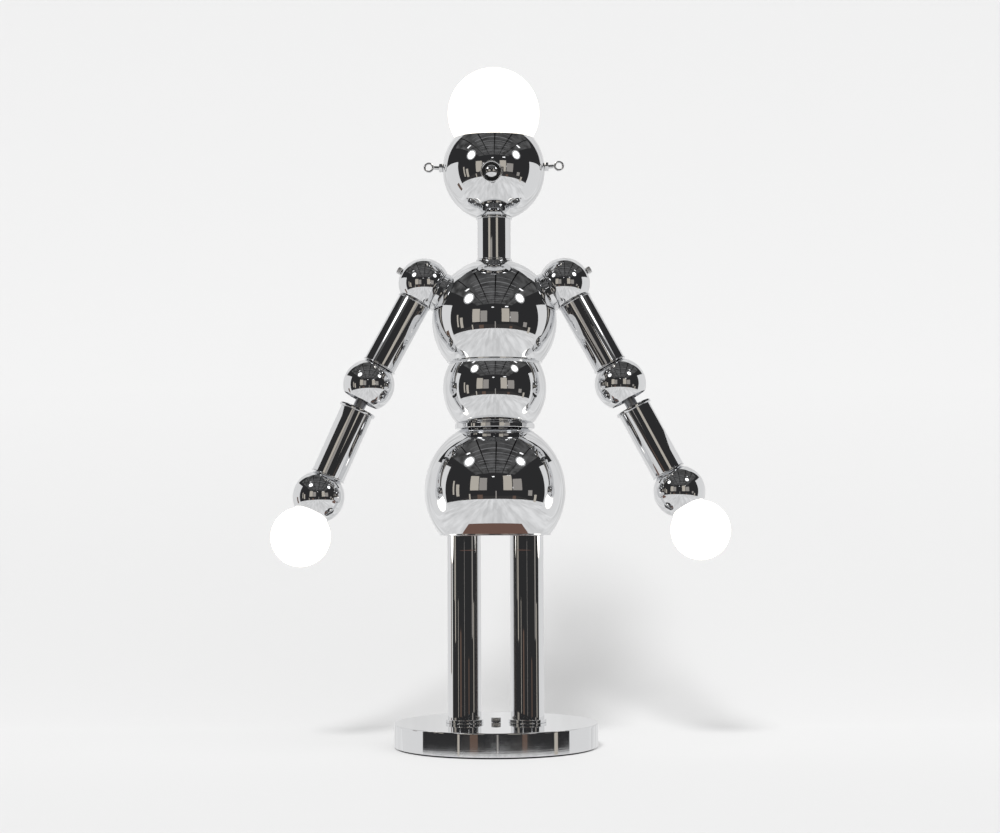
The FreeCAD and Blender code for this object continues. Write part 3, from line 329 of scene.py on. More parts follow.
# Finishes. Chromium plate over polished steel: fine lines left by the buffing wheel, a slight unevenness of
# the sheet, and a few hazy spots and specks from handling.
def shader_group(name, inputs, outputs):
    group = bpy.data.node_groups.new(name, "ShaderNodeTree")
    for socket, kind, value in inputs:
        made = group.interface.new_socket(socket, in_out="INPUT", socket_type=kind)
        if value is not None:
            made.default_value = value
    for socket, kind in outputs:
        group.interface.new_socket(socket, in_out="OUTPUT", socket_type=kind)
    return group, group.nodes.new("NodeGroupInput"), group.nodes.new("NodeGroupOutput")


def polish_marks():
    """Buffing lines round local Z, sheet waviness and handling haze, as roughness, tint and normal."""
    group, given, result = shader_group(
        "polish_marks",
        [
            ("Vector", "NodeSocketVector", None),
            ("Line Scale", "NodeSocketFloat", 700.0),
            ("Line Depth", "NodeSocketFloat", 0.02),
            ("Wave Depth", "NodeSocketFloat", 0.03),
            ("Base Roughness", "NodeSocketFloat", 0.03),
            ("Haze", "NodeSocketFloat", 0.05),
        ],
        [("Roughness", "NodeSocketFloat"), ("Tint", "NodeSocketFloat"), ("Normal", "NodeSocketVector")],
    )
    nodes, links = group.nodes, group.links
    stretch = nodes.new("ShaderNodeVectorMath")
    stretch.operation = "MULTIPLY"
    stretch.inputs[1].default_value = (0.02, 0.02, 1.0)
    links.new(given.outputs["Vector"], stretch.inputs[0])
    lines = nodes.new("ShaderNodeTexNoise")
    lines.inputs["Detail"].default_value = 3.0
    links.new(stretch.outputs[0], lines.inputs["Vector"])
    links.new(given.outputs["Line Scale"], lines.inputs["Scale"])
    waves = nodes.new("ShaderNodeTexNoise")
    waves.inputs["Scale"].default_value = 14.0
    waves.inputs["Detail"].default_value = 1.0
    links.new(given.outputs["Vector"], waves.inputs["Vector"])
    line_bump = nodes.new("ShaderNodeBump")
    line_bump.inputs["Distance"].default_value = 0.0001
    links.new(lines.outputs["Fac"], line_bump.inputs["Height"])
    links.new(given.outputs["Line Depth"], line_bump.inputs["Strength"])
    wave_bump = nodes.new("ShaderNodeBump")
    wave_bump.inputs["Distance"].default_value = 0.004
    links.new(waves.outputs["Fac"], wave_bump.inputs["Height"])
    links.new(given.outputs["Wave Depth"], wave_bump.inputs["Strength"])
    links.new(line_bump.outputs["Normal"], wave_bump.inputs["Normal"])
    smears = nodes.new("ShaderNodeTexNoise")
    smears.inputs["Scale"].default_value = 26.0
    smears.inputs["Detail"].default_value = 6.0
    smears.inputs["Roughness"].default_value = 0.65
    links.new(given.outputs["Vector"], smears.inputs["Vector"])
    spread = nodes.new("ShaderNodeMapRange")
    spread.inputs["From Min"].default_value = 0.52
    spread.inputs["From Max"].default_value = 0.8
    links.new(smears.outputs["Fac"], spread.inputs["Value"])
    haze = nodes.new("ShaderNodeMath")
    haze.operation = "MULTIPLY_ADD"
    links.new(spread.outputs["Result"], haze.inputs[0])
    links.new(given.outputs["Haze"], haze.inputs[1])
    links.new(given.outputs["Base Roughness"], haze.inputs[2])
    tint = nodes.new("ShaderNodeMapRange")
    tint.inputs["To Min"].default_value = 1.0
    tint.inputs["To Max"].default_value = 0.93
    links.new(spread.outputs["Result"], tint.inputs["Value"])
    links.new(haze.outputs[0], result.inputs["Roughness"])
    links.new(tint.outputs["Result"], result.inputs["Tint"])
    links.new(wave_bump.outputs["Normal"], result.inputs["Normal"])
    return group


polish = polish_marks()


def chrome(name, colour, frame_of_piece, roughness=0.03, lines=0.02, waves=0.02, haze=0.04, scale=700.0):
    """Polished chromium plate, its buffing lines running round the piece's own local Z axis."""
    material = bpy.data.materials.new(name)
    material.use_nodes = True
    nodes, links = material.node_tree.nodes, material.node_tree.links
    shader = nodes["Principled BSDF"]
    shader.inputs["Metallic"].default_value = 1.0
    coordinates = nodes.new("ShaderNodeTexCoord")
    mapping = nodes.new("ShaderNodeMapping")
    inverse = frame_of_piece.inverted()
    mapping.inputs["Location"].default_value = inverse.to_translation()
    mapping.inputs["Rotation"].default_value = inverse.to_euler()
    marks = nodes.new("ShaderNodeGroup")
    marks.node_tree = polish
    marks.inputs["Line Scale"].default_value = scale
    marks.inputs["Line Depth"].default_value = lines
    marks.inputs["Wave Depth"].default_value = waves
    marks.inputs["Base Roughness"].default_value = roughness
    marks.inputs["Haze"].default_value = haze
    tinted = nodes.new("ShaderNodeMix")
    tinted.data_type = "RGBA"
    tinted.inputs["A"].default_value = (*[0.82 * c for c in colour], 1.0)
    tinted.inputs["B"].default_value = (*colour, 1.0)
    links.new(coordinates.outputs["Object"], mapping.inputs["Vector"])
    links.new(mapping.outputs["Vector"], marks.inputs["Vector"])
    links.new(marks.outputs["Tint"], tinted.inputs["Factor"])
    links.new(tinted.outputs["Result"], shader.inputs["Base Color"])
    links.new(marks.outputs["Roughness"], shader.inputs["Roughness"])
    links.new(marks.outputs["Normal"], shader.inputs["Normal"])
    return material


def grained(name, colour, roughness, grain, depth, metallic=0.0, spread=0.25):
    """A dull finish with a fine grain: moulded plastic, rubber, cast iron, plain steel or glaze."""
    material = bpy.data.materials.new(name)
    material.use_nodes = True
    nodes, links = material.node_tree.nodes, material.node_tree.links
    shader = nodes["Principled BSDF"]
    shader.inputs["Metallic"].default_value = metallic
    coordinates = nodes.new("ShaderNodeTexCoord")
    noise = nodes.new("ShaderNodeTexNoise")
    noise.inputs["Scale"].default_value = grain
    noise.inputs["Detail"].default_value = 5.0
    tone = nodes.new("ShaderNodeMix")
    tone.data_type = "RGBA"
    tone.inputs["A"].default_value = (*[c * (1 - spread) for c in colour], 1.0)
    tone.inputs["B"].default_value = (*[min(1.0, c * (1 + spread)) for c in colour], 1.0)
    rough = nodes.new("ShaderNodeMapRange")
    rough.inputs["To Min"].default_value = roughness * 0.8
    rough.inputs["To Max"].default_value = min(1.0, roughness * 1.2)
    bump = nodes.new("ShaderNodeBump")
    bump.inputs["Strength"].default_value = depth
    bump.inputs["Distance"].default_value = 0.0005
    links.new(coordinates.outputs["Object"], noise.inputs["Vector"])
    links.new(noise.outputs["Fac"], tone.inputs["Factor"])
    links.new(noise.outputs["Fac"], rough.inputs["Value"])
    links.new(noise.outputs["Fac"], bump.inputs["Height"])
    links.new(tone.outputs["Result"], shader.inputs["Base Color"])
    links.new(rough.outputs["Result"], shader.inputs["Roughness"])
    links.new(bump.outputs["Normal"], shader.inputs["Normal"])
    return material


chrome_colour = (0.80, 0.805, 0.815)
black_plastic = grained("black_plastic", (0.018, 0.018, 0.019), 0.45, 900.0, 0.2)
plain_steel = grained("plain_steel", (0.42, 0.43, 0.45), 0.35, 500.0, 0.1, 1.0, 0.12)
cast_iron = grained("cast_iron", (0.05, 0.05, 0.053), 0.75, 350.0, 0.8, 0.6)
black_pad = grained("black_felt", (0.012, 0.012, 0.013), 0.95, 1800.0, 1.0)
glazed_white = grained("glazed_porcelain", (0.78, 0.77, 0.73), 0.15, 120.0, 0.05, 0.0, 0.04)
wire_black = grained("wire_rubber", (0.02, 0.02, 0.02), 0.6, 700.0, 0.2)


# Base. A spun steel cover, rounded at its top edge and chromed, drops over a cast iron disc and stands on a
# thin black pad. A rotary switch with a fluted knob is fixed at its centre.
def arc(centre, radius, first, last, steps):
    """Points of (radius, height) round a centre, angles in degrees up from level."""
    turns = [math.radians(first + (last - first) * i / steps) for i in range(steps + 1)]
    return [(centre[0] + radius * math.cos(t), centre[1] + radius * math.sin(t)) for t in turns]


def softened(corners, steps=3):
    """A closed outline of (radius, height, rounding) corners, each corner rounded by its own amount."""
    points = []
    count = len(corners)
    for i, (x, y, size) in enumerate(corners):
        here = Vector((x, y))
        if not size:
            points.append((x, y))
            continue
        before = Vector(corners[i - 1][:2]) - here
        after = Vector(corners[(i + 1) % count][:2]) - here
        size = min(size, before.length * 0.49, after.length * 0.49)
        start = here + before.normalized() * size
        end = here + after.normalized() * size
        for step in range(steps + 1):
            share = step / steps
            bent = start * (1 - share) ** 2 + here * 2 * share * (1 - share) + end * share ** 2
            points.append((bent.x, bent.y))
    return points


def with_supports(outline, closed):
    """Adds a point near each end of a long stretch that meets a rounding, to keep reflections straight."""
    points = [Vector(point) for point in outline]
    count = len(points)
    kept = []
    for i, here in enumerate(points):
        kept.append(tuple(here))
        ahead = points[(i + 1) % count]
        length = (ahead - here).length
        if length < 0.003 or (i == count - 1 and not closed):
            continue
        if (here - points[i - 1]).length < length * 0.3:
            kept.append(tuple(here.lerp(ahead, 0.0005 / length)))
        if (points[(i + 2) % count] - ahead).length < length * 0.3:
            kept.append(tuple(ahead.lerp(here, 0.0005 / length)))
    return kept


def spun(outline, around=96, closed=True):
    """Turns an outline of (radius, height) points about Z, and returns the bmesh."""
    outline = with_supports(outline, closed)
    bm = bmesh.new()
    verts = [bm.verts.new((max(0.0, r), 0.0, z)) for r, z in outline]
    pairs = list(zip(verts, verts[1:] + verts[:1] if closed else verts[1:]))
    edges = [bm.edges.new(pair) for pair in pairs if pair[0] is not pair[1]]
    bmesh.ops.spin(bm, geom=verts + edges, axis=(0, 0, 1), cent=(0, 0, 0), angle=2 * math.pi, steps=around,
                   use_merge=True)
    bmesh.ops.remove_doubles(bm, verts=bm.verts, dist=2e-6)
    flat = [f for f in bm.faces if f.calc_area() < 1e-14]
    bmesh.ops.delete(bm, geom=flat, context="FACES_ONLY")
    bmesh.ops.recalc_face_normals(bm, faces=bm.faces)
    return bm


def finished(name, bm, material, body, nodes, where=Matrix(), sharp=38.0):
    """Makes a smooth-shaded piece of a bmesh, with its place in its mesh, riding on a body."""
    bmesh.ops.transform(bm, matrix=where, verts=bm.verts)
    for face in bm.faces:
        face.smooth = True
    for edge in bm.edges:
        edge.smooth = len(edge.link_faces) != 2 or edge.calc_face_angle(0.0) < math.radians(sharp)
    mesh = bpy.data.meshes.new(name)
    bm.to_mesh(mesh)
    bm.free()
    piece = bpy.data.objects.new(name, mesh)
    piece.data.materials.append(material)
    scene.collection.objects.link(piece)
    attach(piece, body)
    if nodes:
        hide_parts(*nodes)
    return piece


def middle(node):
    low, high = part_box(node)
    return (low + high) / 2


def at_height(z):
    return Matrix.Translation((0, 0, z))


base_low, base_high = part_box("base_shell")
base_radius = base_high.x
base_skin = 0.0012
base_rounding = 0.0016
base_outline = softened([
    (0.0, base_high.z, 0),
    (base_radius * 0.6, base_high.z, 0),
    (base_radius, base_high.z, base_rounding),
    (base_radius, (base_high.z + base_low.z) / 2, 0),
    (base_radius, base_low.z, base_skin / 3),
    (base_radius - base_skin, base_low.z, base_skin / 3),
    (base_radius - base_skin, base_high.z - base_skin, 0.001),
    (0.0, base_high.z - base_skin, 0),
], steps=5)
finished(
    "base_cover", spun(base_outline, 128),
    chrome("chrome_base", chrome_colour, Matrix(), roughness=0.035, lines=0.03, waves=0.006),
    "stand", ["base_shell"],
)
pad_low, pad_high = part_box("base_pad")
pad_outline = softened([
    (0.0, pad_low.z, 0), (pad_high.x, pad_low.z, 0.0004),
    (pad_high.x, pad_high.z, 0.0004), (0.0, pad_high.z, 0),
])
finished("base_felt", spun(pad_outline, 128), black_pad, "stand", ["base_pad"])

# Cord bushing at the back of the base: a black moulded ring that a mains cord would pass through.
bushing_low, bushing_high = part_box("cord_bushing")
bushing_middle = (bushing_low + bushing_high) / 2
bushing_radius = (bushing_high.x - bushing_low.x) / 2
bushing_bore = 0.0035
bushing_barrel = 0.00495
bushing_flange = 0.0015
bushing_length = bushing_high.y - bushing_low.y
bushing_outline = softened([
    (bushing_bore, 0.0, 0.0003),
    (bushing_barrel, 0.0, 0.0003),
    (bushing_barrel, bushing_length - bushing_flange, 0),
    (bushing_radius, bushing_length - bushing_flange, 0.0002),
    (bushing_radius, bushing_length, 0.0008),
    (bushing_bore, bushing_length, 0.0008),
], steps=4)
along_y = Matrix.Translation((0, bushing_low.y, bushing_middle.z)) @ Matrix.Rotation(-math.pi / 2, 4, "X")
finished(
    "cord_bushing_ring", spun(bushing_outline, 64), black_plastic, "stand", ["cord_bushing"],
    along_y,
)


# Fluted switch knobs, one on the base and one on each shoulder: turned brass, chromed, with straight flutes
# and a domed end. Each is pushed on the shaft of a rotary switch.
def fluted_knob(radius, height, flutes, depth, lift):
    """A knob along +Z from its panel: its flutes are pressed between ribs, and its end is slightly domed."""
    bm = bmesh.new()
    around = flutes * 6
    bmesh.ops.create_circle(bm, cap_ends=False, segments=around, radius=radius)
    for vert in bm.verts:
        turn = math.atan2(vert.co.y, vert.co.x) * flutes
        groove = max(0.0, math.cos(turn)) ** 2 * depth
        vert.co.xy *= 1 - groove / radius
    bmesh.ops.translate(bm, verts=bm.verts, vec=(0, 0, lift))
    rings = list(bm.edges)
    side = bmesh.ops.extrude_edge_only(bm, edges=rings)
    upper = [g for g in side["geom"] if isinstance(g, bmesh.types.BMVert)]
    bmesh.ops.translate(bm, verts=upper, vec=(0, 0, height * 0.86))
    for shrink, rise in ((0.93, 0.09), (0.82, 0.045), (0.5, 0.012)):
        edges = [e for e in bm.edges if e.is_boundary and e.verts[0].co.z > lift + height * 0.5]
        step = bmesh.ops.extrude_edge_only(bm, edges=edges)
        upper = [g for g in step["geom"] if isinstance(g, bmesh.types.BMVert)]
        for vert in upper:
            vert.co.xy = vert.co.xy.normalized() * radius * shrink
        bmesh.ops.translate(bm, verts=upper, vec=(0, 0, height * rise))
    for end in (True, False):
        edges = [e for e in bm.edges if e.is_boundary and (e.verts[0].co.z > lift + height / 2) == end]
        bmesh.ops.edgeloop_fill(bm, edges=edges)
    bmesh.ops.recalc_face_normals(bm, faces=bm.faces)
    return bm


base_knob_low, base_knob_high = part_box("base_knob")
base_knob_radius = (base_knob_high.x - base_knob_low.x) / 2
knob_lift = 0.00035
base_knob_height = base_knob_high.z - base_high.z - knob_lift
finished(
    "base_knob_fluted", fluted_knob(base_knob_radius, base_knob_height, 24, 0.0007, knob_lift),
    chrome("chrome_base_knob", chrome_colour, Matrix(), roughness=0.08, lines=0.1, scale=900.0),
    "base_dial", ["base_knob"], at_height(base_high.z), sharp=60.0,
)

# Legs. Two lengths of drawn steel tube, chromed, each in a thin turned collar that is pressed on the base.
tube_radius = (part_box("neck_tube")[1].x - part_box("neck_tube")[0].x) / 2
tube_wall = 0.0012
leg_low, leg_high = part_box("leg_tubes")
leg_x = leg_high.x - tube_radius
collar_radius = 0.0232
collar_height = 0.0043


def tube_outline(low, high):
    return softened([
        (tube_radius, low, 0.0003), (tube_radius, high, 0.0003),
        (tube_radius - tube_wall, high, 0.0003), (tube_radius - tube_wall, low, 0.0003),
    ])


def ring_outline(inner, outer, low, high, rounding=0.0006):
    return softened([
        (inner, low, 0.0001), (outer, low, rounding), (outer, high, rounding), (inner, high, 0.0001),
    ], steps=4)


def joined(name, meshes, material, body, nodes, sharp=38.0):
    """One piece of several turned parts, each given as a bmesh and its place."""
    whole = bmesh.new()
    for part, where in meshes:
        bmesh.ops.transform(part, matrix=where, verts=part.verts)
        part_mesh = bpy.data.meshes.new("part")
        part.to_mesh(part_mesh)
        part.free()
        whole.from_mesh(part_mesh)
        bpy.data.meshes.remove(part_mesh)
    return finished(name, whole, material, body, nodes, sharp=sharp)


leg_chrome = chrome("chrome_legs", chrome_colour, Matrix.Rotation(math.pi / 2, 4, "Y"), roughness=0.03,
                    lines=0.02, waves=0.004)
joined(
    "leg_tubes_drawn",
    [(spun(tube_outline(leg_low.z, leg_high.z), 96), Matrix.Translation((s * leg_x, 0, 0))) for s in (-1, 1)],
    leg_chrome, "stand", ["leg_tubes"],
)

# Neck. A shorter length of the same tube between the chest and the head, with a dished ring at each end. The
# rings are pieces of the same turned stock as the leg collars.
neck_low, neck_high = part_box("neck_tube")
finished(
    "neck_tube_drawn", spun(tube_outline(neck_low.z, neck_high.z), 96),
    chrome("chrome_neck", chrome_colour, Matrix.Rotation(math.pi / 2, 4, "Y"), waves=0.004),
    "stand", ["neck_tube"],
)
ring_radius = 0.0225
ring_drop = 0.0025
rings_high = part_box("tube_rings")[1].z
joined(
    "tube_end_rings",
    [
        *[(spun(ring_outline(tube_radius + 0.0001, collar_radius, leg_low.z, leg_low.z + collar_height), 96),
           Matrix.Translation((s * leg_x, 0, 0))) for s in (-1, 1)],
        *[(spun(ring_outline(tube_radius - tube_wall, ring_radius, low_z, high_z), 96), Matrix())
          for low_z, high_z in ((neck_low.z - ring_drop, neck_low.z), (neck_high.z, rings_high))],
    ],
    chrome("chrome_rings", chrome_colour, Matrix(), roughness=0.04, lines=0.05, scale=1200.0),
    "stand", ["tube_rings"],
)


# Body. Three hollow balls of spun steel, cut flat where they meet, buffed and chromed. The rims of the cuts
# are rolled a little, and a turned ring parts the hips from the waist.
def open_ball(radius, wall, low, high, steps=48):
    """The outline of a thin ball, its rims rounded, open below low and above high. None keeps it whole."""
    inside = radius - wall
    first = math.degrees(math.asin(low / radius)) if low is not None else -90.0
    last = math.degrees(math.asin(high / radius)) if high is not None else 90.0
    outside = arc((0, 0), radius, first, last, steps)
    inner = arc((0, 0), inside, last, first, steps)
    middle_radius = radius - wall / 2

    def rim(angle, start):
        turn = math.radians(angle)
        centre = (middle_radius * math.cos(turn), middle_radius * math.sin(turn))
        return arc(centre, wall / 2, start, start + 180, 6)[1:-1]

    outline = list(outside)
    if high is not None:
        outline += rim(last, last)
    outline += inner
    if low is not None:
        outline += rim(first, first - 180)
    if low is None:
        outline[0] = (0.0, -radius)
    if high is None:
        outline[steps] = (0.0, radius)
        outline[steps + 1] = (0.0, inside)
    return outline


body_wall = 0.0012
shoulder = joints["shoulder_right_swing"]
shoulder_axis = Vector(shoulder["axis"]).normalized()
shoulder_place = Vector(shoulder["pos_m"])
chest_z = shoulder_place.z - shoulder_place.x * shoulder_axis.z / shoulder_axis.x
hip_rim_drop = 0.0531
waist_bottom_drop = 0.044
hip_low, hip_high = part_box("hip_ball")
waist_low, waist_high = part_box("waist_ball")
chest_low, chest_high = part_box("chest_ball")
for name, node, low, high, z, top in (
    ("hips", "hip_ball", hip_low, hip_high, hip_low.z + hip_rim_drop, True),
    ("waist", "waist_ball", waist_low, waist_high, waist_low.z + waist_bottom_drop, True),
    ("chest", "chest_ball", chest_low, chest_high, chest_z, False),
):
    radius = (high.x - low.x) / 2
    outline = open_ball(radius, body_wall, low.z - z, high.z - z if top else None)
    ball_frame = at_height(z)
    finished(
        name + "_spun", spun(outline, 128), chrome("chrome_" + name, chrome_colour, ball_frame),
        "stand", [node], ball_frame,
    )

waist_ring_low, waist_ring_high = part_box("waist_ring")
finished(
    "waist_ring_turned",
    spun(softened([
        (0.0067, waist_ring_low.z, 0), (waist_ring_high.x, waist_ring_low.z, 0.0013),
        (waist_ring_high.x, waist_ring_high.z, 0.0013), (0.0067, waist_ring_high.z, 0),
    ], steps=5), 128),
    chrome("chrome_waist_ring", chrome_colour, Matrix(), roughness=0.04, lines=0.05, waves=0.003),
    "stand", ["waist_ring"],
)
for name, node, rim_z in (
    ("hip_plate_pressed", "hip_plate", hip_low.z),
    ("chest_plate_pressed", "chest_plate", chest_low.z),
):
    low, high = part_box(node)
    finished(
        name,
        spun(softened([
            (0.0067, low.z, 0), (high.x, low.z, 0.0005), (high.x, rim_z, 0.0002), (high.x - 0.0014, rim_z, 0),
            (high.x - 0.0014, high.z, 0.0005), (0.0067, high.z, 0),
        ]), 160),
        chrome("chrome_" + node, chrome_colour, Matrix(), roughness=0.12, lines=0.1, haze=0.1),
        "stand", [node],
    )

# Head. A spun ball like the others, open at the top round the globe. A push button sits in a chromed bezel as
# its nose, and an eye screw with a hexagon nut stands out at each ear.
head_joint = joints["head_turn"]
head_z = head_joint["pos_m"][2]
head_low, head_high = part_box("head_ball")
head_radius = (head_high.x - head_low.x) / 2
head_wall = 0.001
head_frame = at_height(head_z)
nose_inward = Vector(joints["nose_push"]["axis"]).normalized()
nose_frame = head_frame @ (-nose_inward).to_track_quat("Z", "Y").to_matrix().to_4x4()
nose_bezel_radius = 0.0132
nose_recess_radius = 0.0112
nose_barrel_radius = 0.0123
nose_face = head_radius + 0.0019
nose_recess_floor = nose_face - 0.005
button_radius = 0.0073
button_top = head_radius + 0.0026
button_back = button_top - 0.0136
ear_shaft = 0.0024
ear_frames = {}
for name in ("left", "right"):
    out = Vector(joints["ear_%s_turn" % name]["axis"]).normalized()
    across = Vector((0, 0, 1)).cross(out).normalized()
    square = Matrix((across.cross(out), across, out))
    ear_frames[name] = head_frame @ square.transposed().to_4x4()
ear_reach = (Vector(joints["ear_right_turn"]["pos_m"]) - head_frame.to_translation()).length


def drilled(piece, holes):
    """Cuts round holes through a piece, each given as (frame along the hole, radius, from, to)."""
    for hole_frame, radius, start, end in holes:
        bm = bmesh.new()
        bmesh.ops.create_cone(
            bm, cap_ends=True, segments=64, radius1=radius, radius2=radius, depth=end - start
        )
        bmesh.ops.translate(bm, verts=bm.verts, vec=(0, 0, (start + end) / 2))
        bmesh.ops.transform(bm, matrix=hole_frame, verts=bm.verts)
        mesh = bpy.data.meshes.new("drill")
        bm.to_mesh(mesh)
        bm.free()
        drill = bpy.data.objects.new("drill", mesh)
        scene.collection.objects.link(drill)
        cutter = piece.modifiers.new("hole", "BOOLEAN")
        cutter.operation = "DIFFERENCE"
        cutter.solver = "EXACT"
        cutter.object = drill
        bpy.context.view_layer.update()
        depsgraph = bpy.context.evaluated_depsgraph_get()
        cut_mesh = bpy.data.meshes.new_from_object(piece.evaluated_get(depsgraph))
        piece.modifiers.remove(cutter)
        old = piece.data
        piece.data = cut_mesh
        bpy.data.meshes.remove(old)
        bpy.data.objects.remove(drill)
    return piece


head_ball = finished(
    "head_spun", spun(open_ball(head_radius, head_wall, None, head_high.z - head_z), 128),
    chrome("chrome_head", chrome_colour, head_frame), "head", ["head_ball"], head_frame,
)
drilled(head_ball, [
    (nose_frame, nose_barrel_radius + 0.0001, head_radius * 0.6, head_radius * 1.2),
    *[(ear_frame, ear_shaft + 0.0001, head_radius * 0.8, head_radius * 1.2)
      for ear_frame in ear_frames.values()],
    (head_frame, 0.0067, -head_radius * 1.2, 0.0),
])

bezel_seat = math.sqrt(head_radius ** 2 - nose_bezel_radius ** 2)
nose_outline = softened([
    (0.0, nose_face - 0.019, 0), (nose_barrel_radius, nose_face - 0.019, 0.0006),
    (nose_barrel_radius, bezel_seat + 0.0004, 0), (nose_bezel_radius, bezel_seat, 0),
    (nose_bezel_radius, nose_face, 0.0010), (nose_recess_radius, nose_face, 0.0009),
    (nose_recess_radius, nose_recess_floor, 0.0006), (button_radius + 0.0001, nose_recess_floor, 0.0002),
    (button_radius + 0.0001, button_back + 0.0012, 0), (0.0089, button_back + 0.0012, 0),
    (0.0089, button_back - 0.0026, 0), (0.0, button_back - 0.0026, 0),
], steps=4)
nose_chrome = chrome("chrome_nose", chrome_colour, nose_frame, roughness=0.05, lines=0.05, scale=1500.0)
nose_piece = finished(
    "nose_bezel", spun(nose_outline, 96), nose_chrome, "head", ["nose_switch"], nose_frame,
)
# The recess floor round the button, with the barrel hidden in the head, takes the black finish: on the recess
# floor this black is painted shade and painted dark reflection.
nose_piece.data.materials.append(black_plastic)
nose_axis = -nose_inward
for polygon in nose_piece.data.polygons:
    offset = polygon.center - Vector((0, 0, head_z))
    along = offset.dot(nose_axis)
    across = (offset - nose_axis * along).length
    inside = across < nose_recess_radius - 0.0002 and along < nose_face - 0.0008
    if inside or along < bezel_seat - 0.0004:
        polygon.material_index = 1
button_dome = 0.0115
button_rise = button_dome - math.sqrt(button_dome ** 2 - button_radius ** 2)
button_arc = arc(
    (0, button_top - button_dome), button_dome, math.degrees(math.acos(button_radius / button_dome)), 90, 16
)
button_outline = [
    (0.0, button_back), (0.0088, button_back), (0.0088, button_back + 0.001),
    (button_radius - 0.00002, button_back + 0.001), *button_arc,
]
finished(
    "nose_push_button", spun(button_outline, 96),
    chrome("chrome_button", chrome_colour, nose_frame, roughness=0.05, lines=0.04), "nose", ["nose_button"],
    nose_frame,
)

# Ears. Each is an eye screw of bent and turned wire. Its shaft runs through a nut on the head's side.
eye_outer = 0.013
eye_wire = 0.0028
nut_across = 0.010
nut_height = 0.0048


def hexagon_nut(across, low, high, bore):
    """A hexagon nut along Z with turned corners, left solid. The bore argument is not used."""
    bm = bmesh.new()
    corner = across / math.sqrt(3)
    bmesh.ops.create_cone(bm, cap_ends=True, segments=6, radius1=corner, radius2=corner, depth=high - low)
    bmesh.ops.translate(bm, verts=bm.verts, vec=(0, 0, (low + high) / 2))
    bmesh.ops.bevel(bm, geom=list(bm.edges), offset=across * 0.05, segments=3, profile=0.5, affect="EDGES",
                    material=-1)
    return bm


def eye_screw(ear_frame):
    """An eye in the upright plane across the lamp, on a shaft along the ear's own Z."""
    bm = bmesh.new()
    middle_radius = (eye_outer - eye_wire) / 2
    bmesh.ops.create_circle(bm, cap_ends=False, segments=24, radius=eye_wire / 2)
    bmesh.ops.rotate(bm, verts=bm.verts, matrix=Matrix.Rotation(math.pi / 2, 3, "X"))
    bmesh.ops.translate(bm, verts=bm.verts, vec=(middle_radius, 0, 0))
    bmesh.ops.spin(bm, geom=[*bm.verts, *bm.edges], axis=(0, 0, 1), cent=(0, 0, 0), angle=2 * math.pi,
                   steps=72, use_merge=True)
    bmesh.ops.remove_doubles(bm, verts=bm.verts, dist=1e-6)
    bmesh.ops.recalc_face_normals(bm, faces=bm.faces)
    lift = ear_frame @ Matrix.Translation((0, 0, ear_reach)) @ Matrix.Rotation(math.pi / 2, 4, "X")
    shaft_end = ear_reach - eye_outer / 2 + eye_wire * 0.35
    shaft = spun(softened([
        (0.0, head_radius - 0.008, 0), (ear_shaft, head_radius - 0.008, 0.0004),
        (ear_shaft, shaft_end - 0.0016, 0.0006), (ear_shaft * 0.72, shaft_end, 0.0005), (0.0, shaft_end, 0),
    ], steps=4), 48)
    return [(bm, lift), (shaft, ear_frame)]


for name, ear_frame in ear_frames.items():
    joined("ear_eye_" + name, eye_screw(ear_frame),
           chrome("chrome_ear_" + name, chrome_colour, ear_frame, roughness=0.06, lines=0.08), "ear_" + name,
           ["ear_screw_" + name], sharp=50.0)
nuts = joined(
    "ear_hexagon_nuts",
    [(hexagon_nut(nut_across, head_radius + 0.00005, head_radius + nut_height, ear_shaft), ear_frame)
     for ear_frame in ear_frames.values()],
    chrome("chrome_ear_nuts", chrome_colour, ear_frames["right"], roughness=0.07), "head", ["ear_nuts"],
    sharp=50.0,
)
drilled(nuts, [
    (ear_frame, ear_shaft + 0.0001, head_radius * 0.9, head_radius * 1.3) for ear_frame in ear_frames.values()
])


# Globes. Blown opal glass, lit from inside, so that each is evenly white and a little warmer at its rim. A
# short neck runs down to a screw base.
def lit_glass(name, strength, warm):
    material = bpy.data.materials.new(name)
    material.use_nodes = True
    nodes, links = material.node_tree.nodes, material.node_tree.links
    shader = nodes["Principled BSDF"]
    shader.inputs["Base Color"].default_value = (0.93, 0.92, 0.90, 1.0)
    shader.inputs["Roughness"].default_value = 0.12
    facing = nodes.new("ShaderNodeLayerWeight")
    facing.inputs["Blend"].default_value = 0.35
    glow = nodes.new("ShaderNodeMix")
    glow.data_type = "RGBA"
    glow.inputs["A"].default_value = (1.0, 0.985, 0.95, 1.0)
    glow.inputs["B"].default_value = (*warm, 1.0)
    coordinates = nodes.new("ShaderNodeTexCoord")
    cloud = nodes.new("ShaderNodeTexNoise")
    cloud.inputs["Scale"].default_value = 22.0
    rough = nodes.new("ShaderNodeMapRange")
    rough.inputs["To Min"].default_value = 0.10
    rough.inputs["To Max"].default_value = 0.2
    links.new(coordinates.outputs["Object"], cloud.inputs["Vector"])
    links.new(cloud.outputs["Fac"], rough.inputs["Value"])
    links.new(rough.outputs["Result"], shader.inputs["Roughness"])
    links.new(facing.outputs["Facing"], glow.inputs["Factor"])
    links.new(glow.outputs["Result"], shader.inputs["Emission Color"])
    shader.inputs["Emission Strength"].default_value = strength
    return material


opal = lit_glass("opal_glass", 1.6, (1.0, 0.90, 0.74))
brass = grained("brass_base", (0.75, 0.6, 0.32), 0.25, 500.0, 0.2, 1.0, 0.1)


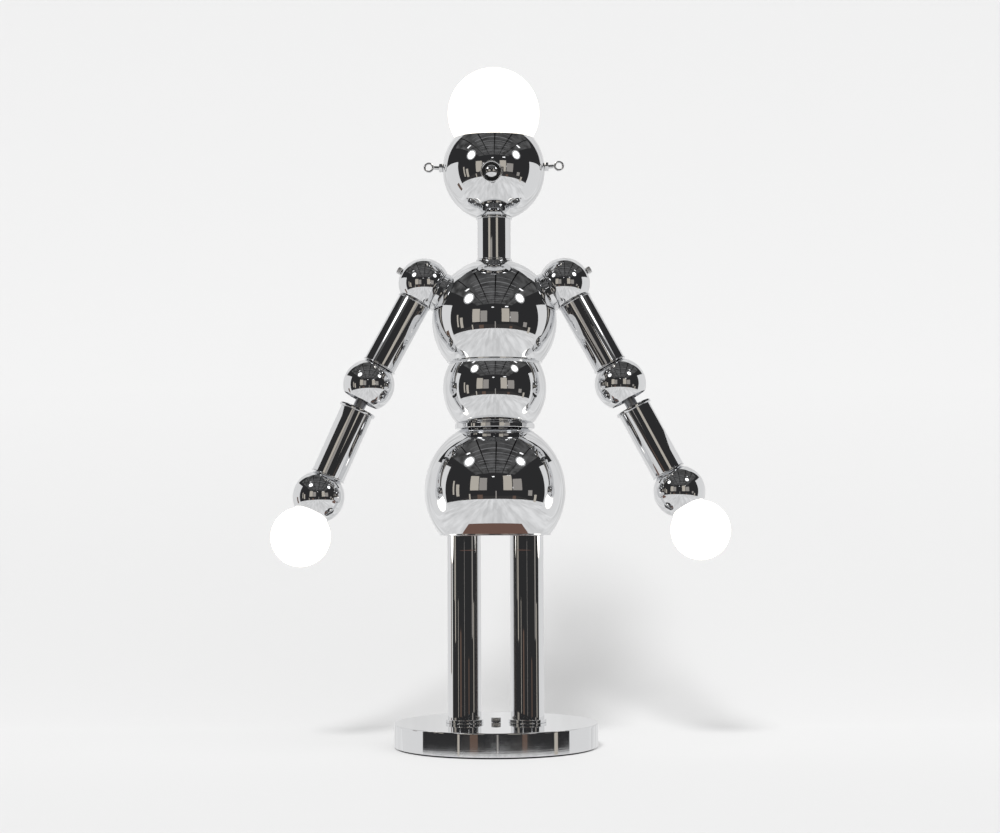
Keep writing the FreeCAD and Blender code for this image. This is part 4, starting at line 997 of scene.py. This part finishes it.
def globe(name, radius, neck_radius, base_radius, centre, base_low, base_length, body, node, where):
    """A globe bulb along +Z of its frame, its screw base towards the socket."""
    neck_start = base_low + base_length
    low_angle = -math.degrees(math.acos(neck_radius / radius))
    glass = [
        (0.0, neck_start - 0.002), (base_radius * 0.97, neck_start - 0.002), (base_radius * 0.97, neck_start),
        *arc((0, centre), radius, low_angle, 90, 40),
    ]
    glass[-1] = (0.0, centre + radius)
    piece = finished(name, spun(glass, 96), opal, body, [node], where)
    turns = 6
    pitch = base_length / (turns + 1.5)
    thread = [(0.0, base_low + 0.002), (base_radius * 0.35, base_low), (base_radius * 0.8, base_low + 0.0025)]
    for i in range(turns * 8):
        z = base_low + 0.0035 + pitch * i / 8
        thread.append((base_radius * (0.955 + 0.04 * math.cos(math.pi * i / 4)), z))
    thread += [(base_radius * 0.97, neck_start - 0.002), (0.0, neck_start - 0.002)]
    screw = finished(name + "_screw", spun(thread, 72), brass, body, [], where)
    return piece, screw


head_globe_radius = 0.057
head_bulb_low, head_bulb_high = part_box("head_bulb")
globe(
    "head_globe", head_globe_radius, 0.016, 0.013, head_bulb_high.z - head_globe_radius,
    head_bulb_low.z, 0.024, "stand", "head_bulb", Matrix(),
)

# Arms. Each has a shoulder ball on a hollow pivot, an upper tube, an elbow ball with an open mouth, a lower
# tube under a wide flange, and a hand ball that holds a small globe. All is chromed steel.
ball_wall = 0.001
joint_radius = 0.03175
shoulder_reach = (shoulder_place - Vector((0, 0, chest_z))).length
shoulder_cut = 0.0196
upper_tube_length = 0.0889
shoulder_seat = 0.0272
elbow_seat = 0.0279
cap_lip = 0.0015
cap_overhang = 0.00095
elbow_mouth = 0.0215
flange_start = 0.0324
flange_radius = 0.023
flange_height = 0.0037
lower_tube_length = 0.0865
hand_seat = 0.0285
hand_mouth = 0.0228
hand_globe_radius = 0.0365
hand_globe_reach = 0.0538
elbow_bends = {"left": 4.4, "right": 0.3}
arm_knob_radius = 0.0044
arm_knob_height = 0.0054
collar_disc_radius = 0.025
collars = []


def lip_outline(seat):
    """A tube end's turned lip, dished to sit on a ball, whose centre is at the frame's origin."""
    dish = math.sqrt(joint_radius ** 2 - (seat - cap_lip) ** 2)
    outer = tube_radius + cap_overhang
    return softened([
        (dish, seat - cap_lip, 0), (outer, seat - cap_lip, 0.0005), (outer, seat, 0.0005),
        (tube_radius - tube_wall - 0.0001, seat, 0), (tube_radius - tube_wall - 0.0001, seat + 0.004, 0),
        (dish * 0.6, seat + 0.004, 0),
    ], steps=4)


for side in ("left", "right"):
    swing = joints["shoulder_%s_swing" % side]
    bend = joints["elbow_%s_bend" % side]
    shoulder_place = Vector(swing["pos_m"])
    elbow_place = Vector(bend["pos_m"])
    out = Vector(swing["axis"]).normalized()
    up = (shoulder_place - elbow_place).normalized()
    square = Matrix((out, up.cross(out), up)).transposed().to_4x4()
    shoulder_frame = Matrix.Translation(shoulder_place) @ square
    elbow_frame = Matrix.Translation(elbow_place) @ square
    arm_body = "arm_" + side
    low_body = "forearm_" + side
    turn_out = Matrix.Rotation(math.pi / 2, 4, "Y")
    turn_over = Matrix.Rotation(math.pi, 4, "X")

    pivot = shoulder_frame @ turn_out
    flat = math.sqrt(joint_radius ** 2 - shoulder_cut ** 2)
    rounding = 0.0006
    cut_angle = math.degrees(math.asin((shoulder_cut - rounding) / joint_radius))
    shoulder_outline = [
        (0.0, -shoulder_cut),
        (flat - rounding, -shoulder_cut),
        *arc((0, 0), joint_radius, -cut_angle, 90, 64),
    ]
    shoulder_outline[-1] = (0.0, joint_radius)
    finished(
        "shoulder_spun_" + side, spun(shoulder_outline, 96),
        chrome("chrome_shoulder_" + side, chrome_colour, pivot), arm_body, ["shoulder_ball_" + side],
        pivot,
    )
    finished(
        "shoulder_knob_fluted_" + side,
        fluted_knob(arm_knob_radius, arm_knob_height, 18, 0.0005, knob_lift),
        chrome("chrome_shoulder_knob_" + side, chrome_colour, pivot, roughness=0.08, lines=0.1, scale=900.0),
        "shoulder_dial_" + side, ["shoulder_knob_" + side],
        pivot @ Matrix.Translation((0, 0, joint_radius)), sharp=60.0,
    )
    collar_start = -shoulder_reach + math.sqrt(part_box("chest_ball")[1].x ** 2 - collar_disc_radius ** 2)
    collars.append((
        spun(softened([
            (0.0067, collar_start + 0.003, 0), (collar_disc_radius, collar_start, 0),
            (collar_disc_radius, -shoulder_cut - 0.0003, 0.0008), (0.0067, -shoulder_cut - 0.0003, 0),
        ], steps=4), 128),
        pivot,
    ))

    tube_frame = shoulder_frame @ turn_over
    along_tube = shoulder_frame @ turn_out
    finished(
        "upper_tube_drawn_" + side,
        spun(tube_outline(shoulder_seat, shoulder_seat + upper_tube_length), 96),
        chrome("chrome_upper_" + side, chrome_colour, along_tube, waves=0.004), arm_body,
        ["upper_arm_tube_" + side], tube_frame,
    )
    joined(
        "upper_tube_lips_" + side,
        [(spun(lip_outline(seat), 96), seat_frame)
         for seat, seat_frame in ((shoulder_seat, tube_frame), (elbow_seat, elbow_frame))],
        chrome("chrome_upper_lips_" + side, chrome_colour, tube_frame, roughness=0.04, lines=0.05),
        arm_body, ["upper_arm_caps_" + side],
    )
    finished(
        "elbow_spun_" + side, spun(open_ball(joint_radius, ball_wall, -elbow_mouth, None, 40), 96),
        chrome("chrome_elbow_" + side, chrome_colour, elbow_frame), arm_body, ["elbow_ball_" + side],
        elbow_frame,
    )

    forearm_frame = elbow_frame @ Matrix.Rotation(math.radians(elbow_bends[side]), 4, "Y")
    flange_frame = forearm_frame @ turn_over
    tube_start = flange_start + flange_height
    tube_end = tube_start + lower_tube_length
    finished(
        "lower_tube_drawn_" + side, spun(tube_outline(tube_start, tube_end), 96),
        chrome("chrome_lower_" + side, chrome_colour, forearm_frame @ turn_out, waves=0.004), low_body,
        ["forearm_tube_" + side], flange_frame,
    )
    hand_frame = forearm_frame @ Matrix.Translation((0, 0, -tube_end - hand_seat))
    joined(
        "lower_tube_lips_" + side,
        [
            (spun(softened([
                (0.0075, flange_start, 0), (flange_radius, flange_start, 0.0007),
                (flange_radius, tube_start, 0.0007), (tube_radius - 0.0013, tube_start, 0),
                (tube_radius - 0.0013, tube_start + 0.004, 0), (0.0075, tube_start + 0.004, 0),
            ], steps=4), 128), flange_frame),
            (spun(lip_outline(hand_seat), 96), hand_frame),
        ],
        chrome("chrome_lower_lips_" + side, chrome_colour, flange_frame, roughness=0.04, lines=0.05),
        low_body, ["forearm_caps_" + side],
    )
    finished(
        "hand_spun_" + side, spun(open_ball(joint_radius, ball_wall, -hand_mouth, None, 40), 96),
        chrome("chrome_hand_" + side, chrome_colour, hand_frame), low_body, ["hand_ball_" + side],
        hand_frame,
    )
    globe(
        "hand_globe_" + side, hand_globe_radius, 0.016, 0.013, hand_globe_reach, -0.0077, 0.024, low_body,
        "hand_bulb_" + side, hand_frame @ turn_over,
    )
joined(
    "shoulder_collars_turned", collars,
    chrome("chrome_collars", chrome_colour, Matrix(), roughness=0.04, lines=0.03), "stand",
    ["shoulder_collars"],
)

# Inner parts. The switches, pipes, rods, nuts, forks, sockets and leads stay as the frame has them.
inner_finishes = {
    plain_steel: ["leg_rods", "torso_pipe", "locknuts", "shoulder_nipples"],
    cast_iron: ["base_weight"],
    black_plastic: ["base_switch"],
    glazed_white: ["head_socket"],
    wire_black: ["lamp_leads", "head_lead"],
}
for side in ("left", "right"):
    inner_finishes[plain_steel] += ["elbow_fork_" + side, "elbow_tongue_" + side]
    inner_finishes[black_plastic].append("shoulder_switch_" + side)
    inner_finishes[glazed_white].append("hand_socket_" + side)
    inner_finishes[wire_black] += ["arm_lead_" + side, "forearm_lead_" + side]
for material, names in inner_finishes.items():
    for node in names:
        mesh = frame["nodes"][node].data
        mesh.materials.clear()
        mesh.materials.append(material)
